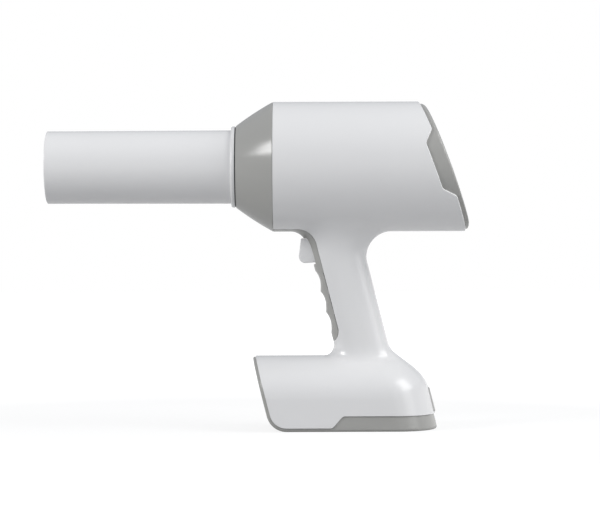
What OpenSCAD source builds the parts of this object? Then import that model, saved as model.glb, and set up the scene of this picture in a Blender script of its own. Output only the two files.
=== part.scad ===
// Handheld dental X-ray unit: an open-ended beam cone on a tapered nose, a round body that ends in
// a slanted operator face, a leaning handle with a trigger, and a boot-shaped base for the battery.
// X runs from the cone's tip to the operator, Z is up and the base's sole lies on Z = 0.
// The halves of the housing part on the plane Y = 0.

/* [Beam cone] */
// Length from the tip to the back of the flange
cone_l = 168.8; // [120:0.1:220]
// Outer diameter of the straight register at the tip
cone_d = 65.2; // [62:0.1:68]
// Wall of the register
cone_wall = 2.5; // [2:0.1:4]
// Length of the register, outside and inside
register_l = 25; // [15:1:40]
// Extra radius at the flange end, so that the mould releases
cone_draft = 0.4; // [0.2:0.1:0.8]
// How far the flange stands out from the cone
flange_lip = 3.5; // [3:0.1:4]
// Thickness of the flange
flange_t = 3.3; // [2.5:0.1:5]
// How far the spigot reaches behind the flange
spigot_l = 10; // [9:0.5:12]

/* [Nose] */
// Length of the tapered nose
nose_l = 33.1; // [30:0.1:45]
// Radius of the nose's bulging outline
nose_bulge_r = 260; // [150:10:600]
// Thickness of the seal between flange and nose
seal_t = 1; // [0.6:0.1:2]

/* [Body] */
// Outer diameter of the round body
body_d = 116.6; // [110:0.1:140]
// Length on the axis, from the nose to the operator face
body_l = 156.3; // [150:0.1:190]
// Wall of the housing
wall = 2.6; // [2:0.1:3]
// Lean of the operator face
rear_lean = 19.8; // [12:0.1:22]
// How much smaller in radius the rear cover is than the body
cover_inset = 2; // [1:0.1:2.2]
// Length taken off the sharp lower corner of the operator face
rear_trim = 1.8; // [1:0.1:4]

/* [Parting steps] */
// Depth of the rear cover's rim
rear_lip = 4.4; // [3.4:0.1:5]
// Depth of the raised step in the rear parting line
step_rise = 9.6; // [6:0.1:12]
// Upper end of the rear step, from the axis up the slope
rear_step_up = 24.9; // [15:0.1:28]
// Lower end of the rear step, from the axis down the slope
rear_step_down = 18.7; // [12:0.1:24]
// Run of the rear step's flanks along the slope
rear_flank = 10; // [7:0.5:14]
// Radius of the step's corners
step_r = 4.5; // [2:0.5:6]

/* [Handle] */
// Height of the handle, from the top of the base to the underside of the body
grip_l = 111.2; // [100:0.1:140]
// Lean of the handle
grip_lean = 14.3; // [10:0.05:16]
// Depth of the handle, its strip included
grip_depth = 48.8; // [44:0.1:54]
// Width of the handle
grip_w = 38; // [34:0.5:44]
// Squareness of the handle's section, 2 is an ellipse
grip_square = 2.4; // [2:0.1:3]
// From the body's front edge back to the middle of the handle, half way up
grip_set = 67.2; // [62:0.1:76]
// How far the handle flares forwards under the body
flare_front = 13; // [10:0.5:16]
// How far the handle flares backwards under the body
flare_rear = 28.2; // [20:0.1:32]
// How far the handle flares to each side under the body
flare_side = 17; // [10:0.5:20]
// Height of the flare under the body
flare_h = 26.9; // [20:0.1:32]
// How far the handle flares forwards on the base
foot_front = 11; // [10:0.5:18]
// How far the handle flares backwards on the base
foot_rear = 10.5; // [6:0.1:14]
// How far the handle flares to each side on the base
foot_side = 8; // [5:0.5:12]
// Height of the flare on the base
foot_h = 12; // [10:0.1:20]

/* [Grip strip] */
// Thickness of the strip down the handle's front
strip_t = 6.8; // [5:0.1:8]
// Depth of the band that runs on under the body
band_t = 1.6; // [1:0.1:1.7]
// Radius where the strip's edge turns from body to handle
strip_turn_r = 17.5; // [12:0.5:20]
// Pitch of the finger grooves
groove_pitch = 18.6; // [16:0.1:21]
// Depth of a finger groove
groove_depth = 2.1; // [1:0.1:3]
// Radius of a finger groove
groove_r = 23; // [18:1:30]
// How many finger grooves
groove_n = 3; // [2:1:3]

/* [Base] */
// Height of the base
base_h = 65.7; // [60:0.1:80]
// Width of the base
base_w = 94; // [88:1:110]
// Length of the base, from the toe's top edge to the heel's bottom edge
base_l = 167; // [160:0.1:190]
// How far the toe lies ahead of the body's front edge
base_toe = 19.1; // [14:0.1:24]
// Height of the upright sides, below the arch
side_h = 28; // [24:1:34]
// Radius of the toe's lower edge
toe_r = 18; // [12:0.5:20]
// Length of the rounded heel in plan
heel_cap = 38; // [30:1:46]
// From the toe's top edge to where the heel's slope leaves the top
shoulder_l = 130.6; // [126:0.1:134]
// Radius of the sole's edge
edge_r = 2.3; // [1.5:0.1:3]
// Thickness of the toe plate and of the sole's rim
toe_t = 2.9; // [2.6:0.1:4]
// How much smaller the base cover is than the base
sole_inset = 1; // [0.6:0.1:1.4]
// From the toe's top edge to the step in the sole's parting line
sole_step = 71.2; // [60:0.1:80]
// Height of the raised step in the sole's parting line
sole_rise = 10.6; // [8:0.1:12]

/* [Trigger] */
// Width of the trigger
trigger_w = 18; // [16:0.5:20]
// Travel of the trigger in degrees
trigger_turn = 8; // [4:0.5:8]

/* [Display and keys] */
// Height of the display up the slope
display_h = 48; // [40:1:50]
// Width of the display
display_w = 66; // [56:1:68]
// Radius of a small key
key_r = 5.5; // [4.5:0.5:6]
// Radius of the large expose key
expose_r = 8; // [7:0.5:9]
// Spacing of the small keys
key_pitch = 17; // [16:0.5:18]
// Travel of a key
key_travel = 0.8; // [0.5:0.1:1]

/* [Battery] */
// Diameter of one cell
cell_d = 18.4; // [18.2:0.1:18.6]
// Length of one cell
cell_l = 65.2; // [64:0.1:66]
// Columns of cells in the pack, two cells high
cell_columns = 3; // [2:1:3]

/* [Charging port] */
// Width of the rubber port cover
port_w = 19; // [16:0.5:24]
// Height of the rubber port cover
port_h = 23.5; // [20:0.5:24]
// Thickness of the port cover
port_t = 2.5; // [2.4:0.1:3.4]

/* [Fits] */
// Gap at an outside seam
seam = 0.15; // [0.05:0.05:0.3]
// Gap between pieces that are put together by hand
fit = 0.2; // [0.1:0.05:0.3]
// Gap beside a piece that moves
play = 0.3; // [0.2:0.05:0.4]

/* [Hidden] */
$fn = 48;
big = 600;
ring_n = 36;
body_n = 120;
hollow_n = 60;

body_r = body_d / 2;
cover_r = body_r - cover_inset;
overall_l = cone_l + seal_t + nose_l + body_l + tan(rear_lean) * cover_r - rear_trim;
tip_x = -overall_l / 2;
flange_x = tip_x + cone_l;
nose_x = flange_x + seal_t;
front_x = nose_x + nose_l;
rear_x = front_x + body_l;
rear_end_x = overall_l / 2;
body_z = base_h + grip_l + body_r;
floor_z = body_z - body_r;
cavity_r = body_r - wall;

cone_r = cone_d / 2;
spigot_r = cone_r + cone_draft;
flange_r = spigot_r + flange_lip;
neck_l = 6;
lock_t = 3;
lock_gap = 1.7;

grip_z = base_h + grip_l / 2;
toe_top_x = front_x - base_toe;
heel_bottom_x = toe_top_x + base_l;

tank_r = cavity_r - 5.7;
tank_wall = 3;
tank_front_x = nose_x + 11.9;
tank_front_r = 34;
tank_l = 78;
lid_t = 6;
lid_x = front_x + tank_l;
focus_x = front_x + 2.1;

white_plastic = [0.86, 0.87, 0.88];
grey_plastic = [0.6, 0.6, 0.59];
dark_rubber = [0.16, 0.16, 0.17];
steel = [0.72, 0.73, 0.75];
board_green = [0.1, 0.36, 0.22];

// ---- Curves ----

function unit(v) = v / norm(v);

// Points of an arc of radius r that rounds the corner b between a and c
function corner_arc(a, b, c, r, n) = r <= 0 ? [b] :
    let (
        u = unit(a - b), w = unit(c - b), half = acos(u * w) / 2,
        m = b + unit(u + w) * r / sin(half),
        p = b + u * r / tan(half),
        turn = sign(cross(b - a, c - b)) * (180 - 2 * half),
        from = atan2(p[1] - m[1], p[0] - m[0])
    )
    [for (i = [0:n]) m + r * [cos(from + turn * i / n), sin(from + turn * i / n)]];

// A closed outline from corners [x, z, radius]
function rounded(corners, n = 6) = let (k = len(corners)) [
    for (i = [0:k - 1])
        let (a = corners[(i + k - 1) % k], b = corners[i], c = corners[(i + 1) % k])
        each corner_arc([a[0], a[1]], [b[0], b[1]], [c[0], c[1]], b[2], n)
];

// A smooth lesser of two values
function soft_min(a, b, k) = min(a, b) - pow(max(k - abs(a - b), 0), 2) / (4 * k);

// A curve from p to q that leaves along s and arrives along t
function blend(p, s, q, t, k) =
    (2 * k * k * k - 3 * k * k + 1) * p + (k * k * k - 2 * k * k + k) * s
    + (3 * k * k - 2 * k * k * k) * q + (k * k * k - k * k) * t;

// A point of a unit oval, from an ellipse at p = 2 towards a square
function oval(i, p) = let (c = cos(360 * i / ring_n), s = sin(360 * i / ring_n))
    [sign(c) * pow(abs(c), 2 / p), sign(s) * pow(abs(s), 2 / p)];

// ---- Solids ----

// A closed solid through rings of points, listed upwards and anticlockwise from above
module loft(rings) {
    n = len(rings[0]);
    top = len(rings) - 1;
    polyhedron(
        [for (ring = rings) each ring],
        concat(
            [[for (i = [0:n - 1]) i]],
            [[for (i = [0:n - 1]) top * n + n - 1 - i]],
            [for (j = [0:top - 1], i = [0:n - 1])
                let (k = (i + 1) % n) each [
                    [j * n + i, (j + 1) * n + i, (j + 1) * n + k],
                    [j * n + i, (j + 1) * n + k, j * n + k]
                ]]
        )
    );
}

// An outline in X and Z, carried w wide across the unit
module across(w) {
    rotate([90, 0, 0]) linear_extrude(w, center = true) children();
}

// A frame on the body's axis, its Z running backwards
module on_axis(x) {
    translate([x, 0, body_z]) rotate([0, 90, 0]) children();
}

// A rod along Y from y0 to y1
module rod(x, z, r, y0, y1) {
    translate([x, y0, z]) rotate([-90, 0, 0]) cylinder(r = r, h = y1 - y0);
}

// A frame in the middle of the operator face, its Z pointing out and its X down the slope
module on_face() {
    translate([rear_x, 0, body_z]) rotate([0, 90 - rear_lean, 0]) children();
}

module rounded_square(size, r) {
    square([size[0] - 2 * r, size[1]], center = true);
    square([size[0], size[1] - 2 * r], center = true);
    for (x = [-1, 1], y = [-1, 1])
        translate([x * (size[0] / 2 - r), y * (size[1] / 2 - r)]) circle(r);
}

module ring(outer, inner, t) {
    rotate_extrude() translate([inner, 0]) square([outer - inner, t]);
}

// A pan-head screw along Z, its head above Z = 0 and its shank below
screw_r = 1.5;
head_r = 2.8;
head_h = 1.9;
module screw(l) {
    difference() {
        union() {
            cylinder(r = head_r, h = head_h, $fn = 32);
            translate([0, 0, -l]) cylinder(r = screw_r, h = l, $fn = 32);
        }
        translate([0, 0, head_h - 1]) cylinder(r = 1.3, h = 2, $fn = 6);
    }
}

// ---- Form of the handle ----

function grip_x(z) = front_x + grip_set - (z - grip_z) * tan(grip_lean);
function grip_front(z) = grip_x(z) - grip_depth / 2;
function strip_back(z) = grip_front(z) + strip_t;

function grip_ring(z, inset) = [for (i = [0:ring_n - 1]) let (o = oval(i, grip_square))
    [grip_x(z) + o[0] * (grip_depth / 2 - inset), o[1] * (grip_w / 2 - inset), z]];

// Where the handle's flare meets the body
function body_meet(inset) = let (
        x0 = grip_front(floor_z) - flare_front + inset,
        x1 = grip_front(floor_z) + grip_depth + flare_rear - inset,
        b = grip_w / 2 + flare_side - inset
    )
    [for (i = [0:ring_n - 1]) let (o = oval(i, 2), y = o[1] * b)
        [(x0 + x1) / 2 + o[0] * (x1 - x0) / 2, y,
         body_z - sqrt(pow(body_r - inset, 2) - y * y)]];

function body_slope(p, inset) = let (
        x_mid = grip_x(floor_z) + (flare_rear - flare_front) / 2,
        out = [p[0] - x_mid, p[1], 0],
        normal = [0, p[1], p[2] - body_z] / (body_r - inset)
    )
    unit(out - normal * (out * normal));

// ---- Form of the base ----

// Lower edge of the toe, as an arc that meets the leaning plate
function toe_plane_x(z) = toe_top_x + (base_h - z) * tan(grip_lean);
function toe_x(z) = let (
        z_meet = toe_r * (1 - sin(grip_lean)),
        x_mid = toe_plane_x(z_meet) + toe_r * cos(grip_lean)
    )
    z >= z_meet ? toe_plane_x(z) : x_mid - sqrt(toe_r * toe_r - pow(toe_r - max(z, 0), 2));

heel_slope = 0.24;
shoulder_slope = 1.342;
function heel_x(z) = soft_min(
    heel_bottom_x - heel_slope * z,
    toe_top_x + shoulder_l + (base_h - z) * shoulder_slope, 12);

function edge_cut(z) = z >= edge_r ? 0
    : edge_r - sqrt(edge_r * edge_r - pow(edge_r - max(z, 0), 2));
function base_half(z, inset) = let (w = base_w / 2 - inset)
    z <= side_h ? w - edge_cut(z)
        : w * sqrt(max(0, 1 - pow((z - side_h) / (base_h - inset - side_h), 2)));
function cap_l(w) = heel_cap * (0.45 + 0.55 * w / (base_w / 2));

heel_n = 18;
toe_n = 2;
toe_corner_r = 4;
function base_ring(z, inset, front) = let (
        w = base_half(z, inset), l = cap_l(w), x1 = heel_x(z) - inset - edge_cut(z) - l,
        x0 = toe_x(z) + front, r = min(0.8 * w, toe_corner_r - front)
    )
    concat(
        [for (i = [0:heel_n]) let (a = 180 * i / heel_n - 90)
            [x1 + l * cos(a), w * sin(a), z]],
        [for (i = [0:toe_n]) let (a = 90 + 90 * i / toe_n)
            [x0 + r + r * cos(a), w - r + r * sin(a), z]],
        [for (i = [0:toe_n]) let (a = 180 + 90 * i / toe_n)
            [x0 + r + r * cos(a), r - w + r * sin(a), z]]
    );

// Height of the arched base over a point in plan
function in_base(x, y, z, inset) = let (w = base_half(z, inset), l = cap_l(w))
    abs(y) < w && x < heel_x(z) - inset - l + l * sqrt(1 - pow(y / w, 2));
function base_top(x, y, inset, low, high, n = 16) = n == 0 ? low : let (m = (low + high) / 2)
    in_base(x, y, m, inset) ? base_top(x, y, inset, m, high, n - 1)
        : base_top(x, y, inset, low, m, n - 1);
function base_z(x, y, inset) = base_top(x, y, inset, side_h, base_h - inset);

function base_meet(inset) = let (
        x0 = grip_front(base_h) - foot_front + inset,
        x1 = grip_front(base_h) + grip_depth + foot_rear - inset,
        b = grip_w / 2 + foot_side - inset
    )
    [for (i = [0:ring_n - 1])
        let (o = oval(i, 2), x = (x0 + x1) / 2 + o[0] * (x1 - x0) / 2, y = o[1] * b)
        [x, y, base_z(x, y, inset)]];

function base_fall(p, inset) = let (
        x_mid = grip_x(base_h) + (foot_rear - foot_front) / 2,
        out = unit([p[0] - x_mid, p[1]]), e = 0.8
    )
    unit([out[0], out[1], (base_z(p[0] + e * out[0], p[1] + e * out[1], inset) - p[2]) / e]);

// ---- Housing forms, each as a solid that can be shrunk by an inset ----

pull = 1.15;
module grip_form(inset, sink, flare_n = 7, foot_n = 6) {
    up = unit([-tan(grip_lean), 0, 1]);
    foot_z = base_h + foot_h;
    neck_z = floor_z - flare_h;
    low = grip_ring(foot_z, inset);
    high = grip_ring(neck_z, inset);
    foot = base_meet(inset);
    head = body_meet(inset);
    flat_foot = [for (p = foot) [grip_x(base_h) + (p[0] - grip_x(base_h)) * 0.8, p[1] * 0.8,
        base_h - 16 - sink]];
    flat_head = [for (p = head) [grip_x(floor_z) + (p[0] - grip_x(floor_z)) * 0.8, p[1] * 0.8,
        floor_z + 12 + sink]];
    loft(concat(
        [flat_foot],
        [for (k = [0:foot_n - 1]) [for (i = [0:ring_n - 1])
            let (d = norm(foot[i] - low[i]) * pull)
            blend(foot[i], -d * base_fall(foot[i], inset), low[i], d * up, k / foot_n)]],
        [low, high],
        [for (k = [1:flare_n]) [for (i = [0:ring_n - 1])
            let (d = norm(head[i] - high[i]) * pull)
            blend(high[i], d * up, head[i], d * body_slope(head[i], inset), k / flare_n)]],
        [flat_head]
    ));
}

module base_form(inset, front, low, arch_step = 8) {
    levels = concat(
        [for (z = [0, 0.35, 1.2, edge_r, 4.4, 7.5, 10.5, toe_r * (1 - sin(grip_lean)), side_h])
            if (z > low + 0.1) z],
        [for (a = [arch_step:arch_step:88])
            side_h + (base_h - inset - side_h) * sin(a)]
    );
    loft([for (z = concat([low], levels)) base_ring(z, inset, front)]);
}

module body_form(r, x0, x1, n = body_n) {
    on_axis(x0) cylinder(r = r, h = x1 - x0, $fn = n);
}

module housing_form() {
    body_form(body_r, front_x, rear_end_x);
    grip_form(0, 0);
    base_form(0, toe_t, 0);
}

// ---- Zones that part the housing from its neighbours ----

// A point u down the slope of the operator face and v inside it
function face_point(u, v) = [
    rear_x + u * sin(rear_lean) - v * cos(rear_lean),
    body_z - u * cos(rear_lean) - v * sin(rear_lean)
];
function face_corner(u, v, r) = concat(face_point(u, v), [r]);

// Everything behind the rear cover's parting line, set back by gap
module rear_zone(gap) {
    d = rear_lip + gap;
    polygon(rounded([
        face_corner(-body_d, -big / 4, 0),
        face_corner(-body_d, d, 0),
        face_corner(-rear_step_up - rear_flank, d, step_r),
        face_corner(-rear_step_up, d + step_rise, step_r),
        face_corner(rear_step_down, d + step_rise, step_r),
        face_corner(rear_step_down + rear_flank, d, step_r),
        face_corner(body_d, d, 0),
        face_corner(body_d, -big / 4, 0)
    ]));
}

// The grip strip and its band under the body, seen from the side
module strip_zone() {
    band_z = floor_z + band_t;
    end_z = base_h + 9.8;
    polygon(rounded([
        [front_x, band_z, 0],
        [front_x, end_z, 0],
        [strip_back(end_z), end_z, 12],
        [strip_back(band_z), band_z, strip_turn_r]
    ], 8));
}

// Everything below and ahead of the base cover's parting line
sole_flank = 9;
module sole_zone() {
    top = base_h + 30;
    step_x = toe_top_x + sole_step;
    polygon(rounded([
        [toe_top_x - big / 4, top, 0],
        [toe_top_x - big / 4, -30, 0],
        [heel_bottom_x + 50, -30, 0],
        [heel_bottom_x + 50, toe_t + sole_rise, 0],
        [step_x + sole_flank, toe_t + sole_rise, step_r],
        [step_x, toe_t, step_r],
        [toe_plane_x(toe_t) + toe_t, toe_t, toe_r - toe_t],
        [toe_plane_x(top) + toe_t, top, 0]
    ], 8));
}

// ---- Trigger, from its pivot ----

pivot = [strip_back(floor_z) + 5.5, floor_z - 1.4];
hub_r = 4;
pin_r = 1.5;
module at_pivot(w) {
    translate([pivot[0], 0, pivot[1]]) across(w) children();
}

window_w = trigger_w + 2 * play;
module trigger_window() {
    at_pivot(window_w) polygon([
        [-32, -28.2], [8, -28.2], [8, 6], [-5, 6], [-8.5, 1], [-8.5, -4.5], [-32, -4.5]
    ]);
}

// ---- Screws of the housing: [x, z, rib direction] ----

boss_r = 3.5;
frame_boss = [pivot[0] + 19, pivot[1] - 15.5];
grip_boss_z = base_h + 34;
rear_tongue = 4;
function rear_tongue_x(up) = face_point(-up / cos(rear_lean), 0)[0]
    - (rear_lip + rear_tongue) / cos(rear_lean);
shell_bosses = [
    [lid_x + 26, body_z + 46, 0, 12],
    [lid_x + 26, body_z - 46, 0, -12],
    [rear_tongue_x(46) - boss_r - 2, body_z + 44, 0, 14],
    [rear_x - 10, body_z - 46, 0, -12],
    [frame_boss[0], frame_boss[1], 0, 0],
    [strip_back(grip_boss_z) + 13, grip_boss_z, -13, 0],
    [toe_top_x + 27, base_h - 18, 0, 16],
    [toe_top_x + 124, base_h - 16, 6, 12]
];
head_y = 8;
insert_l = 6;
insert_r = 2.3;

sole_bosses = [[toe_top_x + 36, 30], [heel_bottom_x - 33, 28]];
sole_boss_z = toe_t + 5;

module shell_struts(side) {
    for (b = shell_bosses) hull() {
        rod(b[0], b[1], boss_r, -60, 60, $fn = 16);
        rod(b[0] + b[2], b[1] + b[3], 1, -60, 60, $fn = 6);
    }
    for (b = sole_bosses) hull() {
        translate([b[0], side * b[1], sole_boss_z]) cylinder(r = boss_r, h = base_h, $fn = 16);
        translate([b[0], side * (b[1] + 20), sole_boss_z + sole_rise + 9])
            cylinder(r = 1, h = base_h, $fn = 6);
    }
    for (x = [front_x + 16, lid_x - 12]) difference() {
        body_form(body_r, x, x + 3, hollow_n);
        body_form(tank_r + play, x - 1, x + 4, hollow_n);
        cube([big, 24, 3 * big], center = true);
    }
}

module shell_bores(side) {
    for (b = shell_bosses) {
        if (side > 0) {
            rod(b[0], b[1], head_r + 0.5, head_y - head_h, 90, $fn = 16);
            rod(b[0], b[1], screw_r + 0.3, -1, 90, $fn = 16);
        } else {
            rod(b[0], b[1], insert_r, -insert_l, 1, $fn = 16);
        }
    }
    for (b = sole_bosses)
        translate([b[0], side * b[1], 0]) cylinder(r = screw_r + 0.1, h = 22, $fn = 16);
}

// ---- Housing ----

module housing_hollow() {
    body_form(cavity_r, front_x - 1, rear_end_x + 1, hollow_n);
    difference() {
        grip_form(wall, 2, 4, 3);
        across(big) intersection() {
            offset(delta = wall) strip_zone();
            translate([-big / 2, 0]) square([big, floor_z + band_t]);
        }
    }
    base_form(wall, -2, -1, 14.6);
}

module shell(side) {
    intersection() {
        translate([-big / 2, side > 0 ? 0 : -big / 2, -10]) cube([big, big / 2, big]);
        difference() {
            housing_form();
            difference() {
                housing_hollow();
                shell_struts(side);
            }
            across(big) rear_zone(seam);
            across(big) offset(delta = seam) strip_zone();
            across(big) offset(delta = seam) sole_zone();
            for (p = strip_pegs) translate([p[0] - 1, side * peg_y, p[1]]) rotate([0, 90, 0])
                cylinder(r = peg_r + fit, h = 3.2, $fn = 12);
            trigger_window();
            port_pocket();
            shell_bores(side);
        }
    }
}

module shell_left() {
    color(white_plastic) shell(-1);
}

module shell_right() {
    color(white_plastic) shell(1);
}

module shell_screws() {
    color(steel) for (b = shell_bosses)
        translate([b[0], head_y - head_h, b[1]]) rotate([-90, 0, 0]) screw(head_y - head_h + 5);
}

module shell_inserts() {
    color("goldenrod") for (b = shell_bosses) difference() {
        rod(b[0], b[1], insert_r - 0.05, -insert_l, 0);
        rod(b[0], b[1], screw_r + 0.05, -insert_l - 1, 1);
    }
}

// ---- Nose and cone ----

// Outline radius of the nose at x behind its front edge, on the bulging arc
nose_front_r = cone_r + 4.3;
function nose_r(x) = let (
        rise = body_r - nose_front_r, chord = norm([nose_l, rise]), ang = atan(rise / nose_l),
        mid = [nose_l / 2, nose_front_r + rise / 2],
        centre = mid + [sin(ang), -cos(ang)] * sqrt(pow(nose_bulge_r, 2) - chord * chord / 4)
    )
    centre[1] + sqrt(pow(nose_bulge_r, 2) - pow(x - centre[0], 2));

nose_steps = 10;
tongue_l = 8;
module nose_ring() {
    tongue_r = cavity_r - fit;
    neck_r = spigot_r + seam;
    color(grey_plastic) on_axis(nose_x) rotate_extrude($fn = body_n) polygon(concat(
        [[neck_r, 0]],
        [for (i = [0:nose_steps]) let (x = nose_l * i / nose_steps) [nose_r(x), x]],
        [[tongue_r, nose_l], [tongue_r, nose_l + tongue_l], [tongue_r - 2.1, nose_l + tongue_l]],
        [for (i = [nose_steps - 1:-1:3]) let (x = nose_l * i / nose_steps)
            [nose_r(x) - wall, x]],
        [[nose_r(neck_l) - wall, neck_l], [neck_r, neck_l]]
    ));
}

module cone_tube() {
    step_r = cone_r - cone_wall - 0.4;
    round_r = 1.5;
    color(white_plastic) on_axis(tip_x) rotate_extrude($fn = 96) polygon([
        [cone_r - cone_wall, 0.6], [cone_r - cone_wall + 0.6, 0], [cone_r - 0.8, 0],
        [cone_r - 0.25, 0.25], [cone_r, 0.8], [cone_r, register_l],
        [spigot_r, cone_l - flange_t],
        [flange_r - round_r, cone_l - flange_t],
        [flange_r - round_r * (1 - sin(45)), cone_l - flange_t + round_r * (1 - cos(45))],
        [flange_r, cone_l - flange_t + round_r],
        [flange_r, cone_l - 0.3], [flange_r - 0.3, cone_l],
        [spigot_r, cone_l], [spigot_r, cone_l + spigot_l],
        [step_r, cone_l + spigot_l], [step_r, register_l], [cone_r - cone_wall, register_l]
    ]);
}

module seal_ring() {
    color(dark_rubber) on_axis(flange_x) ring(spigot_r + 2.9, spigot_r + 0.05, seal_t);
}

module cone_lock_ring() {
    lock_r = nose_r(neck_l) - wall - lock_gap;
    color(steel) on_axis(nose_x + neck_l) difference() {
        ring(lock_r, spigot_r + 0.05, lock_t);
        for (a = [0:90:270]) rotate(a) translate([lock_r, 0, -1])
            cylinder(r = 1.6, h = lock_t + 2);
    }
}

filter_t = 1.5;
collimator_t = 2;
window_t = 1.5;
beam_angle_r = 3.8;

module beam_window() {
    color([0.25, 0.27, 0.3]) on_axis(tank_front_x - filter_t - collimator_t - 3.5)
        cylinder(r = cone_r - cone_wall - 0.4 - fit, h = window_t);
}

module filter_disc() {
    color("silver") on_axis(tank_front_x - filter_t) cylinder(r = 12, h = filter_t);
}

module collimator_disc() {
    color("dimgray") on_axis(tank_front_x - filter_t - collimator_t) difference() {
        cylinder(r = 24, h = collimator_t);
        translate([0, 0, -1]) cylinder(r = beam_angle_r, h = collimator_t + 2);
    }
    color("dimgray") on_axis(tank_front_x - filter_t) difference() {
        cylinder(r = 24, h = filter_t);
        translate([0, 0, -1]) cylinder(r = 12, h = filter_t + 2);
    }
}

// ---- X-ray tank ----

lid_boss_r = tank_r - 9;
module lid_bosses() {
    for (a = [45:90:315]) rotate(a) translate([lid_boss_r, 0, 0]) children();
}

chassis_z = -24;
chassis_t = 3;

// Inner radius of the tank at x, widening from its front to the full bore
function tank_bore(x) = min(tank_r - tank_wall, tank_front_r - tank_wall
    + (x - tank_front_x - tank_wall) * (tank_r - tank_front_r)
        / (front_x + 1 - tank_front_x - tank_wall));
function chassis_half(x) = sqrt(pow(tank_bore(x), 2) - chassis_z * chassis_z) - fit;

module tank_shell() {
    inner = tank_r - tank_wall;
    neck = front_x - tank_front_x;
    end = lid_x - tank_front_x;
    color("lightgray") on_axis(tank_front_x) {
        rotate_extrude($fn = 96) polygon([
            [8, 0], [tank_front_r, 0], [tank_r, neck], [tank_r, end], [inner, end],
            [inner, neck + 1], [tank_front_r - tank_wall, tank_wall], [8, tank_wall]
        ]);
        lid_bosses() translate([0, 0, end - 14]) difference() {
            union() {
                cylinder(r = 4.5, h = 14);
                translate([2, -3, 0]) cube([6.6, 6, 14]);
            }
            translate([0, 0, 3]) cylinder(r = 1.5, h = 12);
        }
    }
}

spacer_l = 8;
module lid_spacers() {
    for (a = [30:120:270]) rotate(a) translate([lid_boss_r - 6, 0, 0]) children();
}

module tank_lid() {
    color("silver") on_axis(lid_x + seam) difference() {
        union() {
            cylinder(r = tank_r, h = lid_t - seam, $fn = 96);
            translate([0, 0, lid_t - seam]) lid_spacers() cylinder(r = 3.5, h = spacer_l);
            translate([0, 0, -3]) cylinder(r = lid_boss_r - 6, h = 3, $fn = 64);
            cylinder(r = 9, h = lid_t + 5);
        }
        lid_bosses() translate([0, 0, -1]) cylinder(r = 1.7, h = 20);
        lid_bosses() translate([0, 0, lid_t - 2.4]) cylinder(r = 3, h = 10);
        translate([0, 0, lid_t + 1]) lid_spacers() cylinder(r = screw_r + 0.05, h = 10);
        difference() {
            translate([0, 0, -1]) cylinder(r = tank_r - 0.7, h = 1.9, $fn = 96);
            translate([0, 0, -1]) cylinder(r = tank_r - 2.3, h = 1.9, $fn = 96);
        }
    }
}

module tank_seal() {
    color(dark_rubber) on_axis(lid_x) ring(tank_r - 0.75, tank_r - 2.25, 1, $fn = 96);
}

module tank_screws() {
    color(steel) on_axis(lid_x + seam + lid_t - 2.4) lid_bosses() screw(13);
}

module tank_chassis() {
    x0 = focus_x - 14;
    x1 = front_x + 1;
    narrow = chassis_half(x0);
    y = chassis_half(x1);
    color([0.78, 0.66, 0.36]) translate([0, 0, body_z + chassis_z]) {
        linear_extrude(chassis_t) polygon([
            [x0, -narrow], [x1, -y], [lid_x - 6, -y],
            [lid_x - 6, y], [x1, y], [x0, narrow]
        ]);
        for (side = [-1, 1]) difference() {
            translate([focus_x - 13, side * 17 - 3, chassis_t]) cube([26, 6, 14]);
            rod(focus_x, -chassis_z, shield_r + seam, -40, 40);
        }
    }
}

tube_r = 15;
shield_r = 18.2;
tube_half = 31;

module tube_shield() {
    color("slategray") difference() {
        rod(focus_x, body_z, shield_r, -24, 24);
        rod(focus_x, body_z, tube_r + fit, -25, 25);
        on_axis(focus_x - 30) cylinder(r = 8, h = 30);
    }
}

stem_r = 6;
module tube_envelope() {
    color([0.8, 0.88, 0.9]) translate([focus_x, 0, body_z]) rotate([90, 0, 0])
        rotate_extrude() polygon([
            [stem_r, -tube_half], [tube_r - 3, -tube_half], [tube_r, -tube_half + 3],
            [tube_r, tube_half - 3], [tube_r - 3, tube_half], [stem_r, tube_half],
            [stem_r, tube_half - 1.2], [tube_r - 3.6, tube_half - 1.2],
            [tube_r - 1.2, tube_half - 3.6], [tube_r - 1.2, 3.6 - tube_half],
            [tube_r - 3.6, 1.2 - tube_half], [stem_r, 1.2 - tube_half]
        ]);
}

module tube_anode() {
    color("peru") difference() {
        union() {
            rod(focus_x, body_z, 8, -1, tube_half - 4);
            rod(focus_x, body_z, stem_r, -1, tube_half + 4);
        }
        translate([focus_x, 1, body_z]) rotate([0, 0, 20]) translate([-30, -20, -15])
            cube([60, 20, 30]);
    }
}

module tube_cathode() {
    color("silver") difference() {
        union() {
            rod(focus_x, body_z, 7, 4 - tube_half, -9);
            rod(focus_x, body_z, stem_r, -tube_half - 4, -12);
        }
        translate([focus_x - 4, -11, body_z - 1.5]) cube([8, 3, 3]);
    }
}

core_x = focus_x + 30;
core_w = 40;
leg = 10;
module core_window(extra) {
    translate([core_x + leg - extra, -20, body_z + chassis_z + chassis_t + leg - extra])
        cube([core_w - 2 * leg + 2 * extra, 40, 24 + 2 * extra]);
}

module hv_core() {
    color([0.25, 0.25, 0.27]) difference() {
        translate([core_x, -8, body_z + chassis_z + chassis_t]) cube([core_w, 16, 24 + 2 * leg]);
        core_window(0);
    }
}

module hv_winding() {
    color("sandybrown") translate([core_x + leg / 2, 0, body_z + chassis_z + chassis_t + leg])
        difference() {
            cylinder(r = 14, h = 24);
            translate([-leg / 2, -8, -1]) cube([leg, 16, 26]);
        }
}

module hv_multiplier() {
    color("saddlebrown") for (side = [-1, 1])
        translate([core_x - 4, side * 26 - 9, body_z + chassis_z + chassis_t]) cube([42, 18, 30]);
}

// ---- Electronics behind the tank ----

board_t = 1.6;
inverter_x = lid_x + lid_t + spacer_l;
inverter_r = tank_r - 3;

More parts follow.
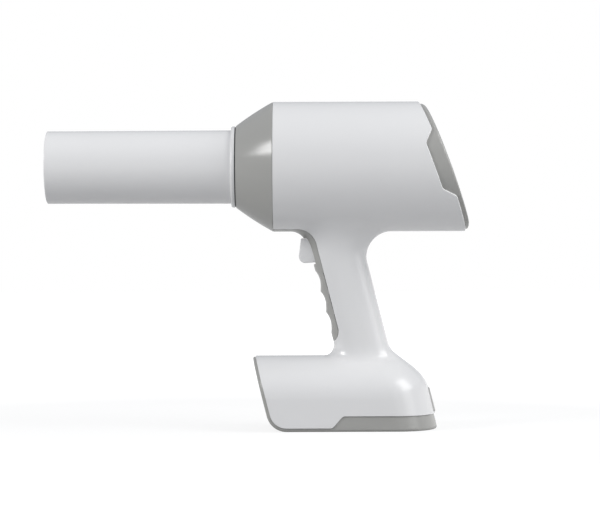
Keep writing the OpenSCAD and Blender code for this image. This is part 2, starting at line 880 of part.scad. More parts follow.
module inverter_board() {
    color(board_green) on_axis(inverter_x) difference() {
        cylinder(r = inverter_r, h = board_t, $fn = 64);
        translate([0, 0, -1]) lid_spacers() cylinder(r = 1.6, h = 5);
        translate([inverter_r, 0, -1]) cylinder(r = 11, h = 5);
    }
    color("ivory") translate([inverter_x - 6.6, -6, floor_z + 19]) cube([6.6, 12, 6]);
}

module board_screws() {
    color(steel) on_axis(inverter_x + board_t) lid_spacers() screw(5);
}

module heat_sink() {
    fin_n = 7;
    w = 40;
    h = 18;
    color("silver") translate([inverter_x + board_t, -w / 2, body_z + 7]) {
        cube([3, w, h]);
        for (i = [0:fin_n - 1]) translate([3, i * (w - 2.2) / (fin_n - 1), 0]) cube([14, 2.2, h]);
    }
}

module power_capacitors() {
    color("midnightblue") for (y = [-24, -8, 8, 24]) on_axis(inverter_x + board_t)
        translate([8, y, 0]) {
            cylinder(r = 6.5, h = 20);
            translate([0, 0, 20]) cylinder(r = 5.8, h = 0.5);
        }
}

// ---- Operator face ----

screen_x = -12;
key_x = screen_x + display_h / 2 + 13;
expose_x = key_x + 19;
panel_posts = [[screen_x - 28, -28], [screen_x - 28, 28], [expose_x - 4, -30], [expose_x - 4, 30]];
post_l = 6.2;
key_flange = 1.5;

module face_envelope(r, depth) {
    across(big) polygon(rounded([
        [rear_x - big / 2, body_z + r, 0],
        [rear_x - tan(rear_lean) * r - depth / cos(rear_lean), body_z + r, max(0.01, 4 - depth)],
        [rear_end_x - depth, body_z - (rear_end_x - rear_x) / tan(rear_lean), 1],
        [rear_end_x - depth, body_z - r, 0.8],
        [rear_x - big / 2, body_z - r, 0]
    ]));
}

module key_row() {
    for (i = [-1:1]) translate([key_x, i * key_pitch, 0]) children();
}

module rear_cover() {
    rim_r = cavity_r - fit;
    color(grey_plastic) difference() {
        union() {
            intersection() {
                body_form(cover_r, front_x, rear_end_x);
                across(big) rear_zone(0);
                face_envelope(cover_r, 0);
            }
            intersection() {
                difference() {
                    body_form(rim_r, front_x, rear_end_x);
                    body_form(rim_r - 2.4, front_x - 1, rear_end_x + 1);
                }
                across(big) rear_zone(rear_tongue);
                face_envelope(cover_r, wall / 2);
            }
            intersection() {
                on_face() for (p = panel_posts) translate([p[0], p[1], -wall - post_l])
                    cylinder(r = 3, h = post_l + 1, $fn = 24);
                body_form(rim_r - 2, front_x, rear_end_x);
            }
        }
        difference() {
            intersection() {
                body_form(rim_r - 2.4, front_x, rear_end_x + 1);
                on_face() translate([-100, -100, -60 - wall]) cube([200, 200, 60]);
                translate([front_x, -100, 0]) cube([rear_end_x - wall - front_x, 200, big]);
            }
            on_face() for (p = panel_posts) translate([p[0], p[1], -wall - post_l])
                cylinder(r = 3, h = post_l + 1, $fn = 24);
        }
        on_face() {
            translate([screen_x, 0, -1.4]) linear_extrude(5)
                rounded_square([display_h, display_w] + [6, 6], 4);
            translate([screen_x, 0, -5]) linear_extrude(10)
                rounded_square([display_h, display_w] - [8, 8], 2);
            translate([0, 0, -5]) key_row() cylinder(r = key_r + play, h = 10, $fn = 32);
            translate([expose_x, 0, -5]) cylinder(r = expose_r + play, h = 10);
            for (p = panel_posts) translate([p[0], p[1], -wall - post_l - 1])
                cylinder(r = screw_r + 0.05, h = post_l, $fn = 16);
        }
    }
}

module display_lens() {
    color([0.06, 0.07, 0.08]) on_face() translate([screen_x, 0, -1.4]) linear_extrude(1.4)
        rounded_square([display_h, display_w] + [6, 6] - [2, 2] * seam, 4);
}

module lcd_module() {
    color([0.3, 0.33, 0.36]) on_face() translate([screen_x, 0, -wall - post_l]) {
        linear_extrude(post_l - fit) rounded_square([display_h, display_w] - [4, 8], 1.5);
    }
}

// A key with a flange that holds it behind the face
module key(x, y, r) {
    color(white_plastic) on_face() translate([x, y, 0]) {
        translate([0, 0, -wall - play - key_flange]) cylinder(r = r + 1.4, h = key_flange);
        translate([0, 0, -wall - play - 0.1]) rotate_extrude() polygon([
            [0, 0], [r, 0], [r, wall + play + 0.7], [r - 0.5, wall + play + 1.1],
            [0, wall + play + 1.3]
        ]);
    }
}

module key_expose() {
    key(expose_x, 0, expose_r);
}

module key_up() {
    key(key_x, -key_pitch, key_r);
}

module key_down() {
    key(key_x, 0, key_r);
}

module key_mode() {
    key(key_x, key_pitch, key_r);
}

mat_top = -wall - play - key_flange - key_travel - play;
board_top = -wall - post_l;
module keypad_mat() {
    color("darkgray") intersection() {
        on_face() translate([0, 0, board_top]) linear_extrude(mat_top - board_top)
            translate([(key_x + expose_x) / 2, 0])
                rounded_square([expose_x - key_x + 20, 2 * key_pitch + 10], 3);
        body_form(cavity_r - 6, front_x, rear_end_x);
    }
}

module control_board() {
    color(board_green) intersection() {
        on_face() translate([0, 0, board_top - board_t]) difference() {
            linear_extrude(board_t) translate([3, 0]) rounded_square([94, 92], 4);
            for (p = panel_posts) translate([p[0], p[1], -1]) cylinder(r = 1.6, h = 4);
        }
        body_form(cavity_r - 6, front_x, rear_end_x);
    }
}

module panel_screws() {
    color(steel) on_face() for (p = panel_posts)
        translate([p[0], p[1], board_top - board_t]) rotate([180, 0, 0]) screw(5);
}

module buzzer() {
    color([0.1, 0.1, 0.1]) on_face() translate([4, -18, board_top - board_t - 6])
        difference() {
            cylinder(r = 6, h = 6);
            translate([0, 0, -1]) cylinder(r = 1, h = 3);
        }
}

// ---- Grip strip ----

groove_tilt = [-cos(grip_lean), -sin(grip_lean)];
groove_z = base_h + 29.4;
module finger_grooves() {
    for (i = [0:groove_n - 1]) {
        z = groove_z + i * groove_pitch;
        c = [grip_front(z), z] + groove_tilt * (groove_r - groove_depth);
        hull() for (side = [-1, 1])
            translate([c[0], side * (grip_w / 2 - 4), c[1]]) rotate([90, 0, 0])
                cylinder(r1 = groove_r + side * 1.5, r2 = groove_r - side * 1.5, h = 16,
                    center = true, $fn = 72);
    }
}

// Pegs that hold the strip in the housing: [x, z]
strip_pegs = [
    for (z = [base_h + 22, base_h + 42, base_h + 62, base_h + 76]) [strip_back(z), z]
];
peg_r = 2;
peg_y = 10;
module strip_peg(r) {
    rotate([0, 90, 0]) hull() {
        cylinder(r = r, h = 1.4, $fn = 12);
        cylinder(r = r - 0.8, h = 2.2, $fn = 12);
    }
}

module grip_strip() {
    color(grey_plastic) difference() {
        union() {
            intersection() {
                union() {
                    body_form(body_r, front_x, front_x + 120);
                    grip_form(0, 0);
                }
                across(big) strip_zone();
            }
            for (p = strip_pegs, side = [-1, 1])
                translate([p[0] - 0.5, side * peg_y, p[1]]) strip_peg(peg_r);
        }
        finger_grooves();
        trigger_window();
    }
}

// ---- Trigger group ----

trigger_zone = trigger_w / 2 - 3.5;
module trigger() {
    color(white_plastic) difference() {
        union() {
            at_pivot(trigger_w) polygon(rounded([
                [-16, -4.8, 0.8], [-19, -27.4, 6], [-2.2, -26.2, 1.2], [0.2, -10, 4],
                [3, -2.5, 0], [-3, 2.5, 0], [-7.4, -4.8, 1]
            ]));
            at_pivot(trigger_w) circle(hub_r);
        }
        at_pivot(trigger_w + 2) circle(pin_r + 0.1);
        at_pivot(2 * trigger_zone) translate([-6.3, -7.5]) square([13, 14]);
    }
}

ear_t = 2.4;
ear_y = window_w / 2 + play;
module trigger_pin() {
    color(steel) at_pivot(2 * (ear_y + ear_t)) circle(pin_r);
}

wire_r = 0.4;
coil_n = 6;
coil_pitch = 2 * wire_r;
function coil_edge(side) = [for (i = [0:4 * coil_n])
    [pin_r + 1 + side * wire_r * (0.75 + 0.25 * sin(90 * (i % 4))), (i / 4 - coil_n / 2) * coil_pitch]];
function reversed(list) = [for (i = [len(list) - 1:-1:0]) list[i]];
module trigger_spring() {
    coil_r = pin_r + 1;
    leg_y = (coil_n - 1) / 2 * coil_pitch;
    color(steel) translate([pivot[0], 0, pivot[1]]) {
        rotate([90, 0, 0]) rotate_extrude() polygon(concat(coil_edge(1), reversed(coil_edge(-1))));
        translate([coil_r, leg_y, -8]) cylinder(r = wire_r, h = 8, $fn = 16);
        translate([coil_r, -leg_y, 0]) rotate([0, trigger_turn + 4, 0])
            cylinder(r = wire_r, h = 6, $fn = 16);
    }
}

web = [8, 10.4];
module trigger_frame() {
    reach = frame_boss - pivot;
    color([0.2, 0.2, 0.22]) {
        for (side = [-1, 1]) translate([0, side * (ear_y + ear_t / 2), 0]) difference() {
            at_pivot(ear_t) {
                circle(3.3);
                translate([reach[0], reach[1]]) circle(6.5);
                polygon([[-1.5, -2.9], [web[0], -26], [web[1], -26], [reach[0] - 3, reach[1] - 5.8],
                    [reach[0] + 4.6, reach[1] + 4.6], [2, 2.6]]);
            }
            at_pivot(ear_t + 1) {
                circle(pin_r + 0.05);
                translate([reach[0], reach[1]]) circle(boss_r + fit);
            }
        }
        at_pivot(2 * ear_y + 0.01) translate([web[0], -26]) square([web[1] - web[0], 20]);
    }
}

module trigger_switch() {
    color([0.08, 0.08, 0.09]) at_pivot(6) translate([2.8, -24]) square([web[0] - 2.8, 12.8]);
    color("crimson") at_pivot(3) translate([1.9, -19]) square([1, 2]);
}

// ---- Leads inside the housing ----

// A round lead swept along its route
lead_sides = 8;
module lead(route, r) {
    n = len(route);
    loft([for (j = [0:n - 1])
        let (
            d = unit(route[min(j + 1, n - 1)] - route[max(j - 1, 0)]),
            side = unit(cross([0, 1, 0], d)), up = cross(d, side)
        )
        [for (i = [0:lead_sides - 1]) let (a = 360 * i / lead_sides)
            route[j] + r * (cos(a) * side + sin(a) * up)]]);
}

harness_r = 2.2;
board_plug_x = grip_x(base_h) - 2;
harness_route = [
    [board_plug_x, 0, 52], [board_plug_x, 0, 60], [board_plug_x - 0.5, 0, 70],
    [grip_x(82) + 9, 0, 82], [grip_x(96) + 13, 0, 96], [grip_x(112) + 13, 0, 112],
    [grip_x(128) + 13, 0, 128], [grip_x(144) + 13, 0, 144], [grip_x(160) + 14, 0, 160],
    [grip_x(172) + 8, 0, 169], [grip_x(172) + 8.5, 0, 176], [grip_x(172) + 13, 0, floor_z + 4],
    [lid_x - 4, 0, floor_z + 5.2], [lid_x + 4, 0, floor_z + 5.2], [lid_x + 8.4, 0, floor_z + 7],
    [lid_x + 10.4, 0, floor_z + 11.5], [lid_x + 10.6, 0, floor_z + 18.95]
];
module harness() {
    color([0.1, 0.1, 0.1]) lead(harness_route, harness_r);
}

module trigger_lead() {
    x = pivot[0] + web[1] + 0.95;
    y = 5;
    color("darkred") lead([
        [x, y, pivot[1] - 20], [x + 0.3, y, pivot[1] - 14], [x + 0.8, y, pivot[1] - 8],
        [x + 4, y, pivot[1] - 2], [x + 10, y, pivot[1] + 3], [x + 17, y, pivot[1] + 5.5]
    ], 0.9);
}

// ---- Base ----

module base_cover() {
    rim = wall + fit;
    color(grey_plastic) difference() {
        union() {
            intersection() {
                base_form(sole_inset, 0, 0);
                across(big) sole_zone();
            }
            intersection() {
                base_form(rim, 0.6, 0.5, 14.6);
                across(big) offset(delta = 3) sole_zone();
            }
        }
        difference() {
            base_form(rim + 1.8, 2.4, 2.6, 14.6);
            for (b = sole_bosses, side = [-1, 1]) hull() {
                translate([b[0], side * b[1], 0])
                    cylinder(r = head_r + 1.7, h = sole_boss_z - fit, $fn = 24);
                translate([b[0], side * (b[1] + 20), 0]) cylinder(r = 1, h = 5, $fn = 8);
            }
            for (y = [-24, -8, 8, 24]) hull() {
                translate([cell_x(0) - 22, y, 0]) cylinder(r = 0.8, h = tray_z, $fn = 8);
                translate([cell_x(cell_columns - 1) + 14, y, 0])
                    cylinder(r = 0.8, h = tray_z, $fn = 8);
            }
        }
        for (b = sole_bosses, side = [-1, 1]) translate([b[0], side * b[1], 0]) {
            translate([0, 0, -1]) cylinder(r = head_r + 0.5, h = 1 + screw_seat, $fn = 24);
            cylinder(r = screw_r + 0.3, h = 20, $fn = 24);
        }
    }
}

screw_seat = 2.8;
module base_screws() {
    color(steel) for (b = sole_bosses, side = [-1, 1])
        translate([b[0], side * b[1], screw_seat]) rotate([180, 0, 0]) screw(14);
}

tray_z = 3.6;
cell_pitch = cell_d + 0.6;
function cell_x(i) = toe_top_x + 53.1 + i * cell_pitch;
cell_low_z = tray_z + 1.6 + cell_d / 2;

module cells(r) {
    for (i = [0:cell_columns - 1], j = [0, 1])
        translate([cell_x(i), 0, cell_low_z + j * cell_pitch]) rotate([90, 0, 0]) children();
}

module battery_cells() {
    color("steelblue") cells() {
        cylinder(r = cell_d / 2, h = cell_l - 1, center = true);
        cylinder(r = 3, h = cell_l, center = true);
    }
}

module battery_holder() {
    x0 = cell_x(0) - cell_pitch / 2 - 2;
    l = cell_columns * cell_pitch + 4;
    h = 2 * cell_pitch + 3;
    color([0.15, 0.15, 0.16]) difference() {
        union() {
            for (side = [-1, 1]) translate([x0, side * (cell_l / 2 + 0.5) - 1.5, tray_z])
                cube([l, 3, h]);
            translate([x0, -cell_l / 2, tray_z]) cube([l, cell_l, 1.4]);
        }
        cells() cylinder(r = cell_d / 2 + 0.1, h = cell_l + 0.02, center = true);
    }
}

board_z = tray_z + 2 * cell_pitch + 3;
module battery_board() {
    lug_y = cell_l / 2 + 2;
    color(board_green) translate([cell_x(0) - 6, 0, board_z]) difference() {
        union() {
            translate([0, -23, 0]) cube([cell_pitch * cell_columns - 5, 46, board_t]);
            translate([8, -lug_y, 0]) cube([12, 2 * lug_y, board_t]);
        }
        translate([3, -20, -1]) cylinder(r = 1.6, h = 4);
    }
    color("ivory") translate([board_plug_x - 5, -5, board_z + board_t]) cube([10, 10, 4]);
}

// ---- Charging port ----

port_z = 15 + port_h / 2;
port_x = heel_x(port_z) + 0.6;
module at_port() {
    translate([port_x, 0, port_z]) rotate([0, 90 - grip_lean, 0]) children();
}

socket_w = 12;
socket_h = 7;
module port_pocket() {
    at_port() {
        translate([-port_h / 2 - play, -port_w / 2 - play, -port_t - play])
            cube([port_h + 2 * play, port_w + 2 * play, 20]);
        translate([-port_h / 2 - 3, -4.2, -port_t - play]) cube([6, 8.4, 20]);
        translate([-socket_h / 2 - fit, -socket_w / 2 - fit, -20])
            cube([socket_h + 2 * fit, socket_w + 2 * fit, 20]);
    }
}

module port_cover() {
    color([0.62, 0.62, 0.61]) at_port() {
        translate([port_t / 2 - port_h / 2, -port_w / 2, -port_t])
            cube([port_h - port_t / 2, port_w, port_t]);
        translate([port_t / 2 - port_h / 2, port_w / 2, -port_t / 2]) rotate([90, 0, 0])
            cylinder(r = port_t / 2, h = port_w);
    }
}

module port_anchor() {
    color([0.62, 0.62, 0.61]) at_port() translate([-port_h / 2 - 2.8, -4, -port_t])
        cube([2.5, 8, port_t - 1.6]);
}

module charge_socket() {
    slot_w = 8.9;
    slot_h = 3.2;
    color("silver") at_port() difference() {
        translate([-socket_h / 2, -socket_w / 2, -port_t - play - 9]) cube([socket_h, socket_w, 9]);
        translate([0, 0, -port_t - play - 6.5]) linear_extrude(8)
            rounded_square([slot_h, slot_w], slot_h / 2 - 0.05);
    }
    color(board_green) at_port() translate([-11, -9, -port_t - play - 10.6])
        cube([22, 18, board_t]);
}

shell_left();
shell_right();
shell_screws();
shell_inserts();
nose_ring();
cone_tube();
seal_ring();
cone_lock_ring();
beam_window();
filter_disc();
collimator_disc();
tank_shell();
tank_lid();
tank_seal();
tank_screws();
tank_chassis();
tube_envelope();
tube_anode();
tube_cathode();
tube_shield();
hv_core();
hv_winding();
hv_multiplier();
inverter_board();
board_screws();
heat_sink();
power_capacitors();
rear_cover();
display_lens();
lcd_module();
keypad_mat();
key_expose();
key_up();
key_down();
key_mode();
control_board();
panel_screws();
buzzer();
grip_strip();
trigger();
trigger_pin();
trigger_spring();
trigger_frame();
trigger_switch();
harness();
trigger_lead();
base_cover();
base_screws();
battery_cells();
battery_holder();
battery_board();
charge_socket();
port_cover();
port_anchor();
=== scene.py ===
"""Looks of the handheld dental X-ray unit: moulded shells, gaskets, keys and their materials.

Lengths are in millimetres up to put(), which writes metres. X runs from the cone's tip to the
operator, Z is up, and the housing's halves part on Y = 0. The camera looks along +Y.
"""

import copy
import math

import bpy
import numpy as np
from mathutils import Matrix, Vector
from mathutils.bvhtree import BVHTree


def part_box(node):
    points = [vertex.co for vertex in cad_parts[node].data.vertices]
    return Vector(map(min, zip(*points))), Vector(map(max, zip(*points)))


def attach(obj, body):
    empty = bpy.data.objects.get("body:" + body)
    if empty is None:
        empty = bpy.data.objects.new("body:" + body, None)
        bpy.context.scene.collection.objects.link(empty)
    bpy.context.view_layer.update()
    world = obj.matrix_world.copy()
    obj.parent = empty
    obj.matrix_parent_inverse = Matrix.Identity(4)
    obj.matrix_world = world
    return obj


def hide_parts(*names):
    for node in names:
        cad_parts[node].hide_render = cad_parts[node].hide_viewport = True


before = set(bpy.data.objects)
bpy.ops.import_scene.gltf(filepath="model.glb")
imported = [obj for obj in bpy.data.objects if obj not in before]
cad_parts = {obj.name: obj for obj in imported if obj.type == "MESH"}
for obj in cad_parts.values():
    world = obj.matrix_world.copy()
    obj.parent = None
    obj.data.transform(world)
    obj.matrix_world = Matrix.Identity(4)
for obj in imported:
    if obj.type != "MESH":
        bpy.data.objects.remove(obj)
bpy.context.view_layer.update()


def low_high(node):
    """Lowest and highest corner of a CAD node, in millimetres."""
    return [np.array(corner) * 1000 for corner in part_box(node)]


def linked(name, data):
    """A new object in the scene."""
    thing = bpy.data.objects.new(name, data)
    bpy.context.scene.collection.objects.link(thing)
    return thing


# ---- Sizes read from the frame ----

shell_low, shell_high = low_high("shell_left")
cone_low = low_high("cone_tube")[0]
seal_low, seal_high = low_high("seal_ring")

body_r = -shell_low[1]
body_z = shell_high[2] - body_r
under_z = body_z - body_r
tip_x = cone_low[0]
flange_x = seal_low[0]
nose_x = seal_high[0]
front_x = low_high("grip_strip")[0][0]
rear_end_x = low_high("rear_cover")[1][0]

# ---- Sizes of the mouldings, as in the CAD source ----

wall = 2.6
seam = 0.15
butt_gap = 0.06
half_gap = 0.04
rear_lean = math.radians(19.8)
cover_inset = 2.0
body_l = 156.3
rear_x = front_x + body_l
rear_lip = 4.4
step_rise = 9.6
rear_step_up = 24.9
rear_step_down = 18.7
step_flank = 10.0
step_r = 4.5

grip_lean = math.radians(14.3)
grip_depth = 48.8
grip_w = 38.0
grip_square = 2.4
grip_set = 67.2
flare_front, flare_rear, flare_side, flare_h = 13.0, 28.2, 17.0, 26.9
foot_front, foot_rear, foot_side, foot_h = 11.0, 10.5, 8.0, 12.0
flare_pull = 1.15

base_h = 65.7
base_half_w = 47.0
base_l = 167.0
base_toe = 19.1
side_h = 28.0
toe_r = 18.0
heel_cap = 38.0
heel_cap_least = 0.45
shoulder_l = 130.6
shoulder_blend = 12.0
sole_edge_r = 2.3
toe_corner_r = 4.0
toe_top_r = 1.5
toe_t = 2.9
sole_inset = 1.0
sole_step = 71.2
sole_rise = 10.6
sole_flank = 9.0
heel_slope = 0.24
shoulder_slope = 1.342

strip_t = 6.8
band_t = 1.6
strip_turn_r = 17.5
strip_end_r = 12.0
strip_lift = 9.8
groove_pitch = 18.6
groove_depth = 2.1
groove_skew, groove_round = 1.15, 0.85
first_ridge = 20.1

toe_top_x = front_x - base_toe
heel_bottom_x = toe_top_x + base_l
grip_z = (base_h + under_z) / 2
screw_hole_r = 3.3
spare = 6.0  # Solids reach this far past the lines that they are cut along.
far = 600.0

# ---- Plane outlines and their distances ----


def arc_corner(a, b, c, r, step=6.0):
    """Points of an arc of radius r that rounds the corner b between a and c."""
    if r <= 0:
        return [b]
    u, w = (a - b) / np.linalg.norm(a - b), (c - b) / np.linalg.norm(c - b)
    half = math.acos(np.clip(u @ w, -1, 1)) / 2
    centre = b + (u + w) / np.linalg.norm(u + w) * r / math.sin(half)
    start = b + u * r / math.tan(half) - centre
    turn = math.copysign(math.pi - 2 * half, (b - a)[0] * (c - b)[1] - (b - a)[1] * (c - b)[0])
    n = max(2, round(math.degrees(abs(turn)) / step))
    base = math.atan2(start[1], start[0])
    return [centre + r * np.array([math.cos(base + turn * i / n), math.sin(base + turn * i / n)])
            for i in range(n + 1)]


def rounded(corners, step=6.0, closed=True):
    """An outline from corners [x, y, radius]."""
    points = [np.array(c[:2], float) for c in corners]
    n = len(points)
    out = []
    for i, c in enumerate(corners):
        if not closed and i in (0, n - 1):
            out.append(points[i])
        else:
            out += arc_corner(points[i - 1], points[i], points[(i + 1) % n], c[2], step)
    return np.array(out)


def box(x0, x1, y0, y1, *radii):
    """A rectangle's outline. Its corners go anticlockwise from the lower right."""
    corners = (x1, y0), (x1, y1), (x0, y1), (x0, y0)
    return rounded([(*corner, r) for corner, r in zip(corners, radii)])


def outline_distance(points, outline):
    """Distance of points [n, 2] to a closed outline, negative inside it."""
    best = np.full(len(points), np.inf)
    inside = np.zeros(len(points), bool)
    px, py = points[:, 0], points[:, 1]
    for (ax, ay), (bx, by) in zip(outline, np.roll(outline, -1, 0)):
        dx, dy = bx - ax, by - ay
        length2 = max(dx * dx + dy * dy, 1e-12)
        t = np.clip(((px - ax) * dx + (py - ay) * dy) / length2, 0, 1)
        best = np.minimum(best, (px - ax - t * dx) ** 2 + (py - ay - t * dy) ** 2)
        if ay != by:
            cross = (ay > py) != (by > py)
            inside ^= cross & (px < ax + (py - ay) * dx / dy)
    return np.where(inside, -1, 1) * np.sqrt(best)


def soft_less(a, b, k):
    """The lesser of a and b, rounded over a width k."""
    return np.minimum(a, b) - np.maximum(k - np.abs(a - b), 0) ** 2 / (4 * k)


def round_join(a, b, r):
    """Distance to what lies inside both a and b, its edge rounded to about r."""
    outer = np.sqrt(np.maximum(a + r, 0) ** 2 + np.maximum(b + r, 0) ** 2)
    return np.minimum(np.maximum(a, b), -r) + outer


# ---- Parting outlines, seen from the side ----
# Only their corners on the unit are sizes of it. The others lie anywhere clear of it.


def face_point(u, v):
    """A point u down the slope of the operator face and v inside it, in X and Z."""
    return [rear_x + u * math.sin(rear_lean) - v * math.cos(rear_lean),
            body_z - u * math.cos(rear_lean) - v * math.sin(rear_lean)]


def rear_zone(gap):
    """Everything behind the rear cover's parting line."""
    d, d2 = rear_lip + gap, rear_lip + gap + step_rise
    path = [(-2 * body_r, -150, 0), (-2 * body_r, d, 0),
            (-rear_step_up - step_flank, d, step_r), (-rear_step_up, d2, step_r),
            (rear_step_down, d2, step_r), (rear_step_down + step_flank, d, step_r),
            (2 * body_r, d, 0), (2 * body_r, -150, 0)]
    return rounded([face_point(u, v) + [r] for u, v, r in path])


def grip_x(z):
    return front_x + grip_set - (z - grip_z) * math.tan(grip_lean)


def grip_front(z):
    return grip_x(z) - grip_depth / 2


def strip_zone(gap):
    """The grip strip and its band under the body."""
    band_z, end_z = under_z + band_t + gap, base_h + strip_lift - gap
    return rounded([(front_x - 20, band_z, 0), (front_x - 20, end_z, 0),
                    (grip_front(end_z) + strip_t + gap, end_z, strip_end_r),
                    (grip_front(band_z) + strip_t + gap, band_z, strip_turn_r)])


def toe_plane_x(z):
    return toe_top_x + (base_h - z) * math.tan(grip_lean)


def sole_zone(gap):
    """Everything below and ahead of the base cover's parting line."""
    top, t = base_h + 30, toe_t + gap
    step_x = toe_top_x + sole_step
    return rounded([(toe_top_x - 150, top, 0), (toe_top_x - 150, -30, 0),
                    (heel_bottom_x + 50, -30, 0), (heel_bottom_x + 50, t + sole_rise, 0),
                    (step_x + sole_flank, t + sole_rise, step_r), (step_x, t, step_r),
                    (toe_plane_x(t) + t, t, toe_r - toe_t), (toe_plane_x(top) + t, top, 0)])


def nose_zone():
    """Everything ahead of the joint between nose and body."""
    x = front_x + butt_gap
    return np.array([(x, under_z - 20), (x, far), (-far, far), (-far, under_z - 20)])


def zone_field(outline, side):
    """A field that is positive outside an outline in X and Z (side 1) or inside it (side -1)."""
    return lambda p: side * outline_distance(p[:, [0, 2]], outline)


# ---- Forms: each gives a point's distance and outward normal ----


def slope_of(field, p, h=0.02):
    """Gradient of a field at the points, by central differences."""
    grad = np.empty_like(p)
    for k in range(3):
        step = np.zeros(3)
        step[k] = h
        grad[:, k] = (field(p + step) - field(p - step)) / (2 * h)
    return grad


def form_of(field):
    """A form from any field that crosses zero at the surface."""
    def form(p):
        grad = slope_of(field, p)
        size = np.linalg.norm(grad, axis=1) + 1e-9
        return field(p) / size, grad / size[:, None]
    return form


def body_field(p):
    return np.hypot(p[:, 1], p[:, 2] - body_z) - body_r


def heel_x(z):
    """Where the heel ends at a height: its rear face, softly meeting the shoulder's slope."""
    return soft_less(heel_bottom_x - heel_slope * z,
                     toe_top_x + shoulder_l + (base_h - z) * shoulder_slope, shoulder_blend)


def heel_depth(half_w):
    """Depth of the heel's round end, less where the arch is narrow."""
    return heel_cap * (heel_cap_least + (1 - heel_cap_least) * half_w / base_half_w)


def base_field(inset):
    """The base's arch and rounded heel, open towards the toe and the ground."""
    w, h = base_half_w - inset, base_h - inset - side_h

    def field(p):
        x, y, z = p.T
        rise = np.maximum(z - side_h, 0) / h
        half = w * np.sqrt(np.maximum(1 - rise ** 2, 1e-6))
        cap = heel_depth(half)
        back = np.maximum(x - (heel_x(z) - inset - cap), 0) / cap
        value = (y / w) ** 2 + rise ** 2 + np.maximum(1 - rise ** 2, 0) * back ** 2
        return (np.sqrt(np.maximum(value, 1e-9)) - 1) * min(w, h)
    return field


white_base = base_field(0)


def base_top(x, y):
    """Height of the base's arch over points in plan."""
    low, high = np.full(len(x), side_h), np.full(len(x), base_h)
    for _ in range(30):
        middle = (low + high) / 2
        inside = white_base(np.stack([x, y, middle], 1)) < 0
        low, high = np.where(inside, middle, low), np.where(inside, high, middle)
    return low


def circle(n):
    """Directions to n points round a circle."""
    a = np.arange(n) * 2 * math.pi / n
    return np.stack([np.cos(a), np.sin(a)], 1)


def oval(n, power):
    """A circle for power 2, squarer for more."""
    c = circle(n)
    return np.sign(c) * np.abs(c) ** (2 / power)


def unit(v):
    return v / np.linalg.norm(v, axis=-1, keepdims=True)


def flattened(v, normals):
    """Vectors laid flat on the surfaces with these normals."""
    return v - normals * np.sum(v * normals, 1, keepdims=True)


def blend(p, s, q, t, k):
    """A curve from p to q that leaves along s and arrives along t."""
    return ((2 * k ** 3 - 3 * k ** 2 + 1) * p + (k ** 3 - 2 * k ** 2 + k) * s
            + (3 * k ** 2 - 2 * k ** 3) * q + (k ** 3 - k ** 2) * t)


